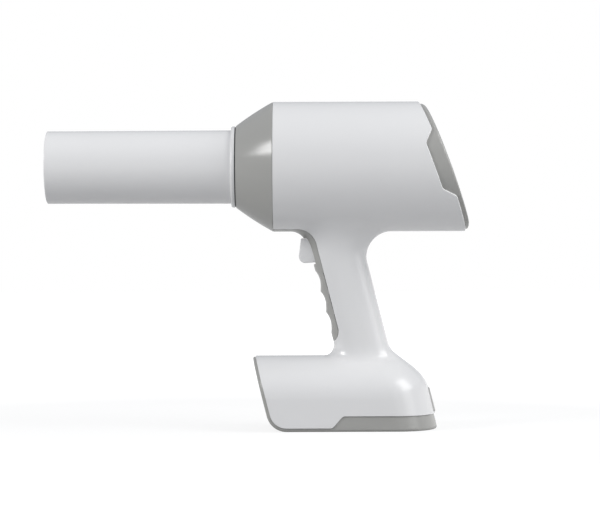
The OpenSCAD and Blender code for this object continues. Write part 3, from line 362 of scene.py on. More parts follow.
class Handle:
    """The leaning handle with its flares, as rows of points from the base up to the body."""

    around, foot_rows, stem_rows, flare_rows = 240, 14, 8, 18
    into_base, into_body, end_size = 16, 12, 0.8
    probe, margin = 0.8, 4.0

    def __init__(self):
        n = self.around
        up = np.array([-math.sin(grip_lean), 0, math.cos(grip_lean)])

        def ring(z):
            o = oval(n, grip_square)
            return np.stack([grip_x(z) + o[:, 0] * grip_depth / 2, o[:, 1] * grip_w / 2,
                             np.full(n, z)], 1)

        def footprint(z, ahead, behind, side):
            o = oval(n, 2)
            x0, x1 = grip_front(z) - ahead, grip_front(z) + grip_depth + behind
            return (x0 + x1) / 2 + o[:, 0] * (x1 - x0) / 2, o[:, 1] * (grip_w / 2 + side)

        x, y = footprint(base_h, foot_front, foot_rear, foot_side)
        foot = np.stack([x, y, base_top(x, y)], 1)
        away = unit(np.stack([x - grip_x(base_h) - (foot_rear - foot_front) / 2, y], 1))
        drop = (base_top(*(np.stack([x, y]) + self.probe * away.T)) - foot[:, 2]) / self.probe
        fall = unit(np.stack([away[:, 0], away[:, 1], drop], 1))

        x, y = footprint(under_z, flare_front, flare_rear, flare_side)
        head = np.stack([x, y, body_z - np.sqrt(body_r ** 2 - y ** 2)], 1)
        out = np.stack([x - grip_x(under_z) - (flare_rear - flare_front) / 2, y, 0 * y], 1)
        normal = np.stack([0 * y, y, head[:, 2] - body_z], 1) / body_r
        slope = unit(flattened(out, normal))

        low, high = ring(base_h + foot_h), ring(under_z - flare_h)
        d_foot = np.linalg.norm(foot - low, axis=1, keepdims=True) * flare_pull
        d_head = np.linalg.norm(head - high, axis=1, keepdims=True) * flare_pull
        rows = [blend(foot, -d_foot * fall, low, d_foot * up, k)
                for k in np.linspace(0, 1, self.foot_rows + 1)]
        rows += [low + (high - low) * k for k in np.linspace(0, 1, self.stem_rows + 1)[1:]]
        rows += [blend(high, d_head * up, head, d_head * slope, k)
                 for k in np.linspace(0, 1, self.flare_rows + 1)[1:]]
        self.rows = np.array(rows)

        upward = np.gradient(self.rows, axis=0)
        sideways = np.roll(self.rows, -1, 1) - np.roll(self.rows, 1, 1)
        self.points = self.rows.reshape(-1, 3)
        self.normals = unit(np.cross(sideways, upward)).reshape(-1, 3)
        self.level = np.repeat(np.arange(len(rows)), n)
        self.triangles = halved(grid_quads(len(rows), n))
        self.tree = BVHTree.FromPolygons(self.points.tolist(), self.triangles.tolist())

    def solid(self):
        """The handle closed at both ends, which reach into the base and the body."""
        def inner(ring, z, dz):
            middle = np.array([grip_x(z), 0])
            flat = middle + (ring[:, :2] - middle) * self.end_size
            return np.column_stack([flat, np.full(len(ring), z + dz)])
        return closed_loft(np.concatenate([[inner(self.rows[0], base_h, -self.into_base)],
                                           self.rows,
                                           [inner(self.rows[-1], under_z, self.into_body)]]))

    def form(self, p):
        """Distance and smooth normal. Points away from the handle are left far."""
        distance, normal = np.full(len(p), far), np.zeros_like(p)
        low, high = self.points.min(0) - self.margin, self.points.max(0) + self.margin
        index = np.flatnonzero(np.all((p > low) & (p < high), 1))
        found = [self.tree.find_nearest(q) for q in p[index].tolist()]
        hit = np.array([f[0] for f in found])
        corners = self.triangles[[f[2] for f in found]]
        share = barycentric(hit, *(self.points[corners[:, k]] for k in range(3)))
        smooth = unit(np.einsum("nk,nkd->nd", share, self.normals[corners]))
        level = np.sum(share * self.level[corners], 1)
        gap = p[index] - hit
        size = np.linalg.norm(gap, axis=1)
        at_end = (level < 1e-3) | (level > self.level[-1] - 1e-3)
        inside = (np.sum(gap * smooth, 1) < 0) & ~at_end
        distance[index] = np.where(inside, -size, size)
        normal[index] = smooth
        return distance, normal


def barycentric(p, a, b, c):
    """Shares of the corners a, b and c in points of their triangles."""
    u, v, w = b - a, c - a, p - a
    uu, uv, vv = np.sum(u * u, 1), np.sum(u * v, 1), np.sum(v * v, 1)
    wu, wv = np.sum(w * u, 1), np.sum(w * v, 1)
    size = uu * vv - uv * uv + 1e-20
    s, t = (vv * wu - uv * wv) / size, (uu * wv - uv * wu) / size
    return np.clip(np.stack([1 - s - t, s, t], 1), 0, 1)


# ---- Meshes as arrays ----


def grid_quads(rows, n):
    """Quads between closed rows of n points, facing away from the left of their direction."""
    i = np.arange(rows - 1)[:, None] * n
    j = np.arange(n)[None]
    k = (j + 1) % n
    return np.stack([i + j, i + k, i + n + k, i + n + j], -1).reshape(-1, 4)


def halved(quads):
    """Two triangles for each quad."""
    return np.concatenate([quads[:, [0, 1, 2]], quads[:, [0, 2, 3]]])


def closed_loft(rows):
    """A closed solid through rings of points, listed upwards and anticlockwise from above."""
    count, n = rows.shape[:2]
    ring = list(range(n))
    ends = [ring[::-1], [(count - 1) * n + i for i in ring]]
    return rows.reshape(-1, 3), grid_quads(count, n).tolist() + ends


def fused(solids, voxel):
    """One even skin round closed solids that overlap, as points and triangles."""
    points, faces, start = [], [], 0
    for p, f in solids:
        points.append(p)
        faces += [[i + start for i in face] for face in f]
        start += len(p)
    mesh = bpy.data.meshes.new("fused")
    mesh.from_pydata((np.concatenate(points) / 1000).tolist(), [], faces)
    thing = linked("fused", mesh)
    remesh = thing.modifiers.new("even", "REMESH")
    remesh.mode, remesh.voxel_size, remesh.adaptivity = "VOXEL", voxel / 1000, 0
    done = thing.evaluated_get(bpy.context.evaluated_depsgraph_get()).to_mesh()
    co = np.empty(len(done.vertices) * 3)
    done.vertices.foreach_get("co", co)
    quads = np.array([list(f.vertices) for f in done.polygons if len(f.vertices) == 4])
    bpy.data.objects.remove(thing)
    bpy.data.meshes.remove(mesh)
    return co.reshape(-1, 3) * 1000, halved(quads)


class Skin:
    """A smooth moulded surface that is cut along parting lines and given rounded rims."""

    snap = 0.3  # Points this near a cut are moved onto it.
    stride = 1.5  # No point moves further than this in one round of settling.
    band = 6.0  # A cut's direction is worked out this far from it.
    least_slope = 0.12
    on_cut = 0.08

    def __init__(self, points, faces, form):
        self.form = form
        self.points, self.faces = points, faces
        self.cuts = []
        self.settle(4)

    def settle(self, rounds=1):
        """Moves the points onto the form and takes its normals."""
        for _ in range(rounds):
            distance, normal = self.form(self.points)
            distance = np.clip(distance, -self.stride, self.stride)
            self.points = self.points - distance[:, None] * normal
        self.normals = self.form(self.points)[1]

    def rim_field(self, field, r, points, normals):
        """A cut's field, set back by its rim radius along the surface, and its direction."""
        value = field(points)
        near = np.abs(value) < self.band
        toward = np.zeros_like(points)
        reach = np.ones(len(points))
        if near.any():
            grad = slope_of(field, points[near])
            flat = flattened(grad, normals[near])
            size = np.maximum(np.linalg.norm(flat, axis=1), self.least_slope)
            toward[near] = flat / size[:, None]
            reach[near] = size
        return value / reach - r, toward

    def cut(self, field, r, depth=wall, straight=None):
        """Keeps what is positive in the field. The rim is rounded to r and goes depth deep,
        or, for a bore, to where straight() puts its end."""
        self.cuts.append((field, r, depth, straight))
        value, toward = self.rim_field(field, r, self.points, self.normals)
        close = np.abs(value) < self.snap
        self.points[close] -= toward[close] * value[close, None]
        value[close] = 0
        state = np.sign(value)[self.faces]
        whole = (state.min(1) >= 0) & (state.max(1) > 0)
        mixed = np.flatnonzero((state.min(1) < 0) & (state.max(1) > 0))
        made, pieces = {}, []
        for triangle in self.faces[mixed].tolist():
            polygon = []
            for a, b in zip(triangle, triangle[1:] + triangle[:1]):
                if value[a] >= 0:
                    polygon.append(a)
                if value[a] * value[b] < 0:
                    key = (min(a, b), max(a, b))
                    polygon.append(made.setdefault(key, len(self.points) + len(made)))
            pieces += [[polygon[0], polygon[i], polygon[i + 1]]
                       for i in range(1, len(polygon) - 1)]
        self.faces = self.faces[whole]
        if made:
            a, b = np.array(list(made)).T
            k = (value[a] / (value[a] - value[b]))[:, None]
            points, normals = (v[a] * (1 - k) + v[b] * k for v in (self.points, self.normals))
            self.points = np.concatenate([self.points, points])
            self.normals = unit(np.concatenate([self.normals, normals]))
            self.faces = np.concatenate([self.faces, pieces])
        self.tidy()

    def tidy(self):
        """Drops unused points and faces without area."""
        a, b, c = (self.points[self.faces[:, k]] for k in range(3))
        area = np.linalg.norm(np.cross(b - a, c - a), axis=1)
        self.faces = self.faces[area > 1e-7]
        used, where = np.unique(self.faces, return_inverse=True)
        self.faces = where.reshape(-1, 3)
        self.points, self.normals = self.points[used], self.normals[used]

    def mirrored(self):
        """The skin mirrored in Y = 0. A cut that isn't the same on both sides leaves a rim
        plain there."""
        twin, flip = copy.copy(self), np.array([1, -1, 1])
        twin.cuts = list(self.cuts)
        twin.points, twin.normals = self.points * flip, self.normals * flip
        twin.faces = self.faces[:, ::-1]
        return twin

    def edge(self):
        """Directed edges that only one face has."""
        directed = np.concatenate([self.faces[:, ends] for ends in ([0, 1], [1, 2], [2, 0])])
        key = [len(self.points), 1]
        return directed[~np.isin(directed @ key, directed[:, ::-1] @ key)]

    def shell(self, thickness):
        """The skin with rounded rims, rim walls and an inner side, as one closed solid."""
        edge = self.edge()
        rim, local = np.unique(edge, return_inverse=True)
        local = local.reshape(-1, 2)
        p, n = self.points[rim], self.normals[rim]
        toward = np.zeros_like(p)
        depth = np.full(len(p), -1.0)
        drop = np.zeros(len(p))
        ends = {}
        for field, r, cut_depth, straight in self.cuts:
            value, direction = self.rim_field(field, r, p, n)
            on = np.abs(value) < self.on_cut
            toward[on] -= direction[on] * r
            drop[on] = np.maximum(drop[on], r)
            depth[on] = np.maximum(depth[on], cut_depth)
            if straight:
                ends.update(dict.fromkeys(np.flatnonzero(on), straight))
        depth[depth < 0] = thickness
        rows_p, rows_n = [], []
        side = unit(toward + 1e-12)
        for a in np.radians([22.5, 45, 67.5, 90]):
            rows_p.append(p + toward * math.sin(a) - n * (drop * (1 - math.cos(a)))[:, None])
            rows_n.append(unit(n * math.cos(a) + side * math.sin(a)))
        deep = rows_p[-1] - n * (depth - drop)[:, None]
        for i, end in ends.items():
            deep[i] = end(rows_p[-1][i])
        rows_p = [self.points] + rows_p + [deep, self.points - self.normals * thickness]
        rows_n = [self.normals] + rows_n + [side, -self.normals]
        start = [0] + np.cumsum([len(row) for row in rows_p]).tolist()
        rims = [rim] + [first + np.arange(len(rim)) for first in start[1:-2]] + [rim + start[-2]]
        faces = self.faces.tolist() + (self.faces[:, ::-1] + start[-2]).tolist()
        a, b = local.T
        for upper, lower in zip(rims, rims[1:]):
            faces += np.stack([upper[b], upper[a], lower[a], lower[b]], 1).tolist()
        return np.concatenate(rows_p), faces, np.concatenate(rows_n)


def outline_normals(outline, closed=True):
    """Outward normals of an anticlockwise outline, ruled by the longer neighbour."""
    step = np.roll(outline, -1, 0) - outline
    side = np.stack([step[:, 1], -step[:, 0]], 1)
    if not closed:
        side[-1] = side[-2]
        before = np.concatenate([side[:1], side[:-1]])
    else:
        before = np.roll(side, 1, 0)
    return unit(side + before + 1e-12)


def turned(path, n=240, closed=True):
    """A body of revolution round Z from a path of [radius, height], its outside going up."""
    def swing(flat):
        height = np.broadcast_to(flat[:, 1, None, None], (len(flat), n, 1))
        return np.concatenate([flat[:, :1, None] * circle(n), height], 2).reshape(-1, 3)
    faces = grid_quads(len(path) + closed, n) % (len(path) * n)
    return swing(path), faces.tolist(), unit(swing(outline_normals(path, closed)))


def rim_levels(low, high, r_low, r_high):
    """Heights and insets of a slab whose lower and upper rims are rounded."""
    turn = [math.radians(a) for a in range(0, 91, 18)]
    return ([(low + r_low * (1 - math.cos(a)), r_low * (1 - math.sin(a))) for a in turn]
            + [(high - r_high * (1 - math.sin(a)), r_high * (1 - math.cos(a))) for a in turn])


def slab(outline, levels):
    """An outline carried up through levels of [height, inset]."""
    out, n = outline_normals(outline), len(outline)
    levels = np.array(levels)
    tilts = np.concatenate([[[0, -1]], levels[2:] - levels[:-2], [[0, 1]]])
    points, normals = [], []
    for (z, inset), (outward, upward) in zip(levels, tilts):
        points.append(np.column_stack([outline - out * inset, np.full(n, z)]))
        normals.append(np.column_stack([out * outward, np.full(n, upward)]))
    points, faces = closed_loft(np.array(points))
    return points, faces, unit(np.concatenate(normals) + 1e-12)


def placed(shape, origin, axes):
    """A shape with its own X, Y and Z along the given axes at the origin."""
    points, faces, normals = shape
    basis = np.array(axes, float)
    return points @ basis + np.array(origin, float), faces, normals @ basis


def along_x(x):
    """Origin and axes of a body of revolution on the unit's axis."""
    return (x, 0, body_z), ((0, 0, -1), (0, 1, 0), (1, 0, 0))


face_out = np.array([math.cos(rear_lean), 0, math.sin(rear_lean)])
face_down = np.array([math.sin(rear_lean), 0, -math.cos(rear_lean)])


def on_face(u, y=0):
    """Origin and axes of a piece on the operator face, u down its slope."""
    return np.array([rear_x, y, body_z]) + u * face_down, (face_down, (0, 1, 0), face_out)


def islands(node):
    """The middle of each separate solid of a CAD node, in millimetres."""
    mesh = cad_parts[node].data
    points = np.array([v.co for v in mesh.vertices]) * 1000
    places, place = np.unique(np.round(points, 3), axis=0, return_inverse=True)
    place = place.ravel()
    edges = place[np.array([e.vertices[:] for e in mesh.edges])]
    group, before = np.arange(len(places)), None
    while not np.array_equal(group, before):
        before = group.copy()
        np.minimum.at(group, edges, group[edges].min(1, keepdims=True))
    solids = [points[group[place] == number] for number in np.unique(group)]
    return [(solid.min(0) + solid.max(0)) / 2 for solid in solids]


# ---- Materials ----


def feed(tree, socket, value):
    """Links a node's output to a socket, or sets the socket to a plain value."""
    if isinstance(value, bpy.types.NodeSocket):
        tree.links.new(value, socket)
    else:
        socket.default_value = value


def add(tree, kind, *values, operation=None, **inputs):
    """A new node. Its inputs are fed in order and by name."""
    node = tree.nodes.new(kind)
    if operation:
        node.operation = operation
    for socket, value in zip(node.inputs, values):
        feed(tree, socket, value)
    for name, value in inputs.items():
        feed(tree, node.inputs[name.replace("_", " ")], value)
    return node


class Finish:
    """A material built from nodes, with the object's own coordinates."""

    def __init__(self, name, **settings):
        self.material = bpy.data.materials.new(name)
        self.material.use_nodes = True
        self.tree = self.material.node_tree
        self.shader = self.tree.nodes["Principled BSDF"]
        self.place = add(self.tree, "ShaderNodeTexCoord").outputs["Object"]
        for socket, value in settings.items():
            self.shader.inputs[socket.replace("_", " ")].default_value = value

    def noise(self, size, detail=2.0):
        """Noise with features of about this size in millimetres."""
        return add(self.tree, "ShaderNodeTexNoise", Vector=self.place, Scale=1000 / size,
                   Detail=detail).outputs["Fac"]

    def spread(self, value, low, high, start=0.3, end=0.7):
        """A value from start to end, spread over low to high."""
        return add(self.tree, "ShaderNodeMapRange", Value=value, From_Min=start, From_Max=end,
                   To_Min=low, To_Max=high).outputs["Result"]

    def mix(self, factor, *tones):
        """A colour between two plain tones."""
        node = add(self.tree, "ShaderNodeMix", Factor=factor)
        node.data_type = "RGBA"
        for socket, tone in zip([s for s in node.inputs if s.type == "RGBA"], tones):
            socket.default_value = (*tone, 1)
        return [s for s in node.outputs if s.type == "RGBA"][0]

    def surface(self, colour, rough, relief=None, height=0):
        """The material, with its colour, roughness and relief of a height in millimetres."""
        feed(self.tree, self.shader.inputs["Base Color"], colour)
        feed(self.tree, self.shader.inputs["Roughness"], rough)
        if relief:
            bump = add(self.tree, "ShaderNodeBump", Height=relief, Distance=height / 1000,
                       Strength=1.0)
            feed(self.tree, self.shader.inputs["Normal"], bump.outputs["Normal"])
        return self.material


def moulded(name, tone, rough, grain, relief, coat=0.0, drift=0.03, uneven=0.12, ior=1.5):
    """Moulded plastic: a slow drift of tone, uneven gloss and a fine grain."""
    finish = Finish(name, IOR=ior, Coat_Weight=coat, Coat_Roughness=0.2)
    darker = tuple(c * (1 - drift) for c in tone)
    return finish.surface(
        finish.mix(finish.spread(finish.noise(60, 3), 0, 1), darker, tone),
        finish.spread(finish.noise(9, 4), rough * (1 - uneven), rough * (1 + uneven)),
        finish.noise(grain), relief)


def metal(name, tone, rough, brushed=0.4):
    """Metal with fine marks of about the brushed size."""
    finish = Finish(name, Metallic=1.0)
    lighter = tuple(min(1, c * 1.12) for c in tone)
    return finish.surface(finish.mix(finish.noise(brushed * 6, 4), tone, lighter),
                          finish.spread(finish.noise(brushed, 3), rough * 0.7, rough * 1.3),
                          finish.noise(brushed), 0.006)


def board(name, tone):
    """A circuit board: solder mask over the faint relief of copper tracks."""
    finish = Finish(name, IOR=1.5, Coat_Weight=0.3)
    tracks = add(finish.tree, "ShaderNodeTexVoronoi", Vector=finish.place, Scale=260.0)
    tracks.distance = "MANHATTAN"
    edge = finish.spread(tracks.outputs["Distance"], 0, 1, 0.35, 0.45)
    return finish.surface(finish.mix(edge, tuple(c * 1.35 for c in tone), tone),
                          finish.spread(finish.noise(4), 0.3, 0.45), edge, 0.03)


white = moulded("white_plastic", (0.813, 0.81, 0.805), 0.26, 0.5, 0.001, coat=0.22, drift=0.01,
                uneven=0.03)
grey = moulded("grey_plastic", (0.4, 0.397, 0.377), 0.2, 0.6, 0.0005, drift=0.01, uneven=0.04,
               ior=1.45)
rubber = moulded("dark_rubber", (0.06, 0.06, 0.062), 0.62, 0.4, 0.01)
grey_rubber = moulded("grey_rubber", (0.56, 0.555, 0.535), 0.5, 0.4, 0.004)
black = moulded("black_plastic", (0.03, 0.03, 0.033), 0.45, 0.4, 0.008)
steel = metal("steel", (0.56, 0.57, 0.58), 0.28)
cast = metal("cast_aluminium", (0.66, 0.67, 0.68), 0.42, 0.9)
brass = metal("brass", (0.72, 0.53, 0.26), 0.3)
copper = metal("copper", (0.75, 0.42, 0.28), 0.3)
lead = metal("lead_shield", (0.23, 0.24, 0.26), 0.55, 1.2)
green = board("circuit_board", (0.02, 0.13, 0.06))
dark_glass = moulded("display_window", (0.012, 0.013, 0.015), 0.08, 3.0, 0.0003, ior=1.3)
screen = moulded("screen", (0.05, 0.06, 0.055), 0.2, 3.0, 0.0003, ior=1.3)
epoxy = moulded("epoxy", (0.19, 0.09, 0.035), 0.3, 1.5, 0.02)
winding = moulded("winding_tape", (0.55, 0.38, 0.1), 0.35, 1.0, 0.02)
cell_wrap = moulded("cell_wrap", (0.03, 0.1, 0.26), 0.28, 2.0, 0.01)
key_white = moulded("key_plastic", (0.78, 0.785, 0.79), 0.3, 0.4, 0.002)


def clear_glass():
    finish = Finish("clear_glass", Transmission_Weight=0.9, IOR=1.47)
    return finish.surface(finish.mix(finish.noise(12), (0.9, 0.95, 0.96), (0.97, 0.99, 0.99)),
                          finish.spread(finish.noise(6), 0.02, 0.06))


glass = clear_glass()


def put(name, shape, material, stands_for=(), body="housing"):
    """Makes a piece from points in millimetres, faces and normals."""
    points, faces, normals = shape
    mesh = bpy.data.meshes.new(name)
    mesh.from_pydata((points / 1000).tolist(), [], faces)
    mesh.polygons.foreach_set("use_smooth", np.ones(len(mesh.polygons), bool))
    mesh.normals_split_custom_set_from_vertices(normals.tolist())
    mesh.materials.append(material)
    piece = linked(name, mesh)
    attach(piece, body)
    if stands_for:
        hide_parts(*stands_for)


# ---- Housing: body, handle and base in one skin, parted into its mouldings ----

handle = Handle()
body_form = form_of(body_field)
white_base_form = form_of(white_base)


def housing_form(p):
    """The nearest of body, base and handle at each point."""
    found = zip(*(form(p) for form in (body_form, white_base_form, handle.form)))
    distance, normal = map(np.array, found)
    pick = np.argmin(distance, 0), np.arange(len(p))
    return distance[pick], normal[pick]


def body_solid(x0, x1):
    y, z = body_r * circle(240).T
    ring = np.stack([0 * y, y, body_z + z], 1)
    return closed_loft(np.array([ring + [x0, 0, 0], ring + [x1, 0, 0]]))


def base_solid(inset, toe, heights):
    """The base as a closed loft. toe(z) is where it begins."""
    w, h = base_half_w - inset, base_h - inset - side_h
    arc = np.linspace(-math.pi / 2, math.pi / 2, 49)
    rows = []
    for z in heights:
        half = w * math.sqrt(max(1 - (max(z - side_h, 0) / h) ** 2, 1e-4))
        cap = heel_depth(half)
        x1 = heel_x(z) - inset - cap
        heel = np.stack([x1 + cap * np.cos(arc), half * np.sin(arc)], 1)
        front = np.array([[toe(z), half], [toe(z), -half]])
        rows.append(np.column_stack([np.concatenate([heel, front]), np.full(len(arc) + 2, z)]))
    return closed_loft(np.array(rows))


arch = [side_h + (base_h - side_h) * math.sin(math.radians(a)) for a in range(0, 89, 4)]
half = Skin(*fused([body_solid(front_x - spare, rear_end_x + spare),
                    base_solid(0, lambda z: toe_top_x - spare, [-spare, 0] + arch),
                    handle.solid()], voxel=1.25), housing_form)
half.cut(zone_field(rear_zone(seam), 1), r=0.8)
half.cut(zone_field(sole_zone(seam), 1), r=0.45)
half.cut(zone_field(nose_zone(), 1), r=0.45)
half.cut(zone_field(strip_zone(seam), 1), r=0.4)
half.cut(lambda p: -half_gap - p[:, 1], r=0.2)

port_w, port_h, port_t, play = 19.0, 23.5, 2.5, 0.3
port_low, port_proud = 15.0, 0.6
tongue_half, tongue_l = 4.2, 2.7
port_z = port_low + port_h / 2
port_at = np.array([heel_x(port_z) + port_proud, 0, port_z])
port_out = np.array([math.cos(grip_lean), 0, math.sin(grip_lean)])
port_down = np.array([math.sin(grip_lean), 0, -math.cos(grip_lean)])
pocket_h, pocket_w = port_h / 2 + play, port_w / 2 + play
pocket = rounded([(pocket_h, -pocket_w, 0.8), (pocket_h, pocket_w, 0.8),
                  (-pocket_h, pocket_w, 0.8), (-pocket_h, tongue_half, 0.3),
                  (-pocket_h - tongue_l, tongue_half, 0.8),
                  (-pocket_h - tongue_l, -tongue_half, 0.8), (-pocket_h, -tongue_half, 0.3),
                  (-pocket_h, -pocket_w, 0.8)], step=15)


def pocket_field(p):
    """The charging port's pocket, with room above it for the cover's tongue."""
    away = p - port_at
    inside = outline_distance(np.stack([away @ port_down, p[:, 1]], 1), pocket)
    return np.where(p[:, 0] > heel_bottom_x - 40, inside, far)


def pocket_floor(p):
    """The point straight below on the pocket's floor."""
    return p - port_out * ((p - port_at) @ port_out + port_t + play)


half.cut(pocket_field, r=0.35, straight=pocket_floor)
right = half.mirrored()
screw_seat_y = 6.1
for x, _, z in islands("shell_screws"):
    right.cut(lambda p, x=x, z=z: np.hypot(p[:, 0] - x, p[:, 2] - z) - screw_hole_r, r=0.4,
              straight=lambda p: np.array([p[0], screw_seat_y, p[2]]))
for side, skin in (("left", half), ("right", right)):
    skin.settle()
    put("housing_" + side, skin.shell(wall), white, ["shell_" + side])

# ---- Grip strip ----

ridge_z = [base_h + first_ridge + groove_pitch * i for i in range(4)]
window_half, window_low, window_high = 9.3, under_z - 29.6, under_z - 5.9


def groove(z):
    """Depth of the finger grooves at a height: scallops that meet in ridges."""
    depth = np.zeros_like(z)
    for low in ridge_z[:-1]:
        t = np.clip((z - low) / groove_pitch, 0, 1)
        scallop = np.sin(math.pi * t ** groove_skew) ** groove_round
        depth += groove_depth * scallop * ((t > 0) & (t < 1))
    return depth


# The strip's zone lies in this room, and nothing outside it has to be settled.
room_rear_x, room_low_z, room_high_z = 100, 70, under_z + 4
strip_points, strip_faces = fused([body_solid(front_x - spare, front_x + 90),
                                   handle.solid()], voxel=0.8)
mid_x, _, mid_z = strip_points[strip_faces].mean(1).T
in_room = (mid_x < room_rear_x) & (mid_z < room_high_z) & (mid_z > room_low_z)
strip = Skin(strip_points, strip_faces[in_room], housing_form)
strip.cut(zone_field(strip_zone(0), -1), r=0.35, depth=4)
strip.cut(zone_field(nose_zone(), 1), r=0.3, depth=1.4)


def window_field(p):
    """The window that the trigger comes through."""
    x, y, z = p.T
    beside = np.abs(y) - window_half
    beyond = np.maximum(window_low - z, z - window_high)
    return round_join(beside, beyond, 0)


strip.cut(window_field, r=0.35, depth=5)
fade_l, side_share = 2.5, 0.35
edge_fade = np.clip(-outline_distance(strip.points[:, [0, 2]], strip_zone(0)) / fade_l, 0, 1)
facing = np.clip(-strip.normals @ port_out, 0, 1)
sink = groove(strip.points[:, 2]) * edge_fade * (side_share + (1 - side_share) * facing)
strip.points += port_out * sink[:, None]
put("grip_strip_skin", strip.shell(thickness=3.0), grey, ["grip_strip"])

# ---- Nose, cone and seal ----

flange_w, register = 3.5, 0.4
cone_l = flange_x - tip_x
flange_r = -cone_low[1]
spigot_r = flange_r - flange_w
cone_r = spigot_r - register
cone_wall, register_l, flange_t, spigot_l = 2.5, 25.0, 3.3, 10.0
nose_l = front_x - nose_x
nose_front_r = cone_r + 4.3
nose_bulge_r, neck_l = 260.0, 6.0


def nose_r(h):
    """Outline radius of the nose, on the bulging arc."""
    rise = body_r - nose_front_r
    chord, tilt = math.hypot(nose_l, rise), math.atan2(rise, nose_l)
    reach = math.sqrt(nose_bulge_r ** 2 - chord ** 2 / 4)
    mid_h = nose_l / 2 + math.sin(tilt) * reach
    mid_r = nose_front_r + rise / 2 - math.cos(tilt) * reach
    return mid_r + math.sqrt(nose_bulge_r ** 2 - (h - mid_h) ** 2)


steps = np.linspace(0, nose_l, 25)
nose_path = rounded(
    [(spigot_r + seam, 0, 0.2), (nose_front_r, 0, 0.6)]
    + [(nose_r(h), h, 0) for h in steps[1:-1]]
    + [(body_r, nose_l - butt_gap, 0.4), (body_r - wall, nose_l - butt_gap, 0)]
    + [(nose_r(h) - wall, h, 0) for h in steps[-2:5:-1]]
    + [(nose_r(neck_l + 1) - wall, neck_l, 0), (spigot_r + seam, neck_l, 0.2)])
put("nose_cowl", placed(turned(nose_path), *along_x(nose_x)), grey, ["nose_ring"])

bore_r, inner_r = cone_r - cone_wall, cone_r - cone_wall - register
spigot_end = cone_l + spigot_l
cone_path = rounded([
    (bore_r, 0, 0.6), (cone_r, 0, 0.8), (cone_r, register_l, 0),
    (spigot_r, cone_l - flange_t, 0.5), (flange_r, cone_l - flange_t, 1.5),
    (flange_r, cone_l, 0.35), (spigot_r, cone_l, 0), (spigot_r, spigot_end, 0.3),
    (inner_r, spigot_end, 0.3), (inner_r, register_l, 0.15), (bore_r, register_l, 0.15)])
put("beam_cone", placed(turned(cone_path), *along_x(tip_x)), white, ["cone_tube"])
seal_l, seal_in_r, seal_out_r = nose_x - flange_x, spigot_r + 0.05, spigot_r + 2.9
seal_path = box(seal_in_r, seal_out_r, 0, seal_l, 0.35, 0.35, 0.2, 0.2)
put("cone_gasket", placed(turned(seal_path), *along_x(flange_x)), rubber,
    ["seal_ring"])

# ---- Rear cover, display and keys ----

cover_r = body_r - cover_inset
rim_low_r, rim_high_r, trim_r = 1.2, 3.0, 1.0
face_at = np.array([rear_x, 0, body_z])
screen_u, lens_h, lens_w, lens_r = -12.0, 54.0, 72.0, 4.0
key_u, expose_u, key_pitch, key_r, expose_r = 25.0, 44.0, 17.0, 5.5, 8.0


def rear_field(p):
    """The operator face with a rounded rim, softer at the top than at the bottom."""
    x, y, z = p.T
    rim_r = np.interp(z, [body_z - 50, body_z + 50], [rim_low_r, rim_high_r])
    rim = round_join(np.hypot(y, z - body_z) - cover_r, (p - face_at) @ face_out, rim_r)
    return round_join(rim, x - rear_end_x, trim_r)


def rear_solid():
    y, z = cover_r * circle(240).T
    end = np.minimum(rear_x - math.tan(rear_lean) * z, rear_end_x)
    ends = (0 * y + rear_x - 60, end)
    return closed_loft(np.array([np.stack([x, y, body_z + z], 1) for x in ends]))


rear = Skin(*fused([rear_solid()], voxel=1.1), form_of(rear_field))
rear.cut(zone_field(rear_zone(0), -1), r=0.35, depth=2)


def face_cut(outline=None, centre=0, across=0, r=0, reach=6):
    """A field round an outline or a circle on the operator face, to a reach below it."""
    def field(p):
        away = p - face_at
        u = away @ face_down - centre
        v = away @ face_out
        flat = (np.hypot(u, p[:, 1] - across) - r if outline is None
                else outline_distance(np.stack([u, p[:, 1]], 1), outline))
        return np.where(v > -reach, flat, far)
    return field


def rounded_box(w, h, r):
    return box(-w / 2, w / 2, -h / 2, h / 2, r, r, r, r)


rear.cut(face_cut(rounded_box(lens_h, lens_w, lens_r), screen_u), r=0.3, depth=1.5)
keys = [("key_up", key_u, -key_pitch, key_r), ("key_down", key_u, 0, key_r),
        ("key_mode", key_u, key_pitch, key_r), ("key_expose", expose_u, 0, expose_r)]
for name, u, y, r in keys:
    rear.cut(face_cut(centre=u, across=y, r=r + play), r=0.4, depth=2)
rear.settle()
put("operator_cover", rear.shell(thickness=2.4), grey, ["rear_cover"])
lens = slab(rounded_box(lens_h - 2 * seam, lens_w - 2 * seam, lens_r - seam),
            rim_levels(-1.4, 0, 0.2, 0.35))
put("display_window", placed(lens, *on_face(screen_u)), dark_glass,
    ["display_lens"])
lens_border = 10.0
area = slab(rounded_box(lens_h - 2 * lens_border, lens_w - 2 * lens_border, 1.2),
            rim_levels(-0.4, 0.05, 0.1, 0.05))
put("display_area", placed(area, *on_face(screen_u)), screen)


def regular(n, r, turn):
    """A regular outline of n slightly rounded corners."""
    a = math.radians(turn) + np.arange(n) * 2 * math.pi / n
    return rounded([(r * math.cos(t), r * math.sin(t), 0.3) for t in a], step=15)


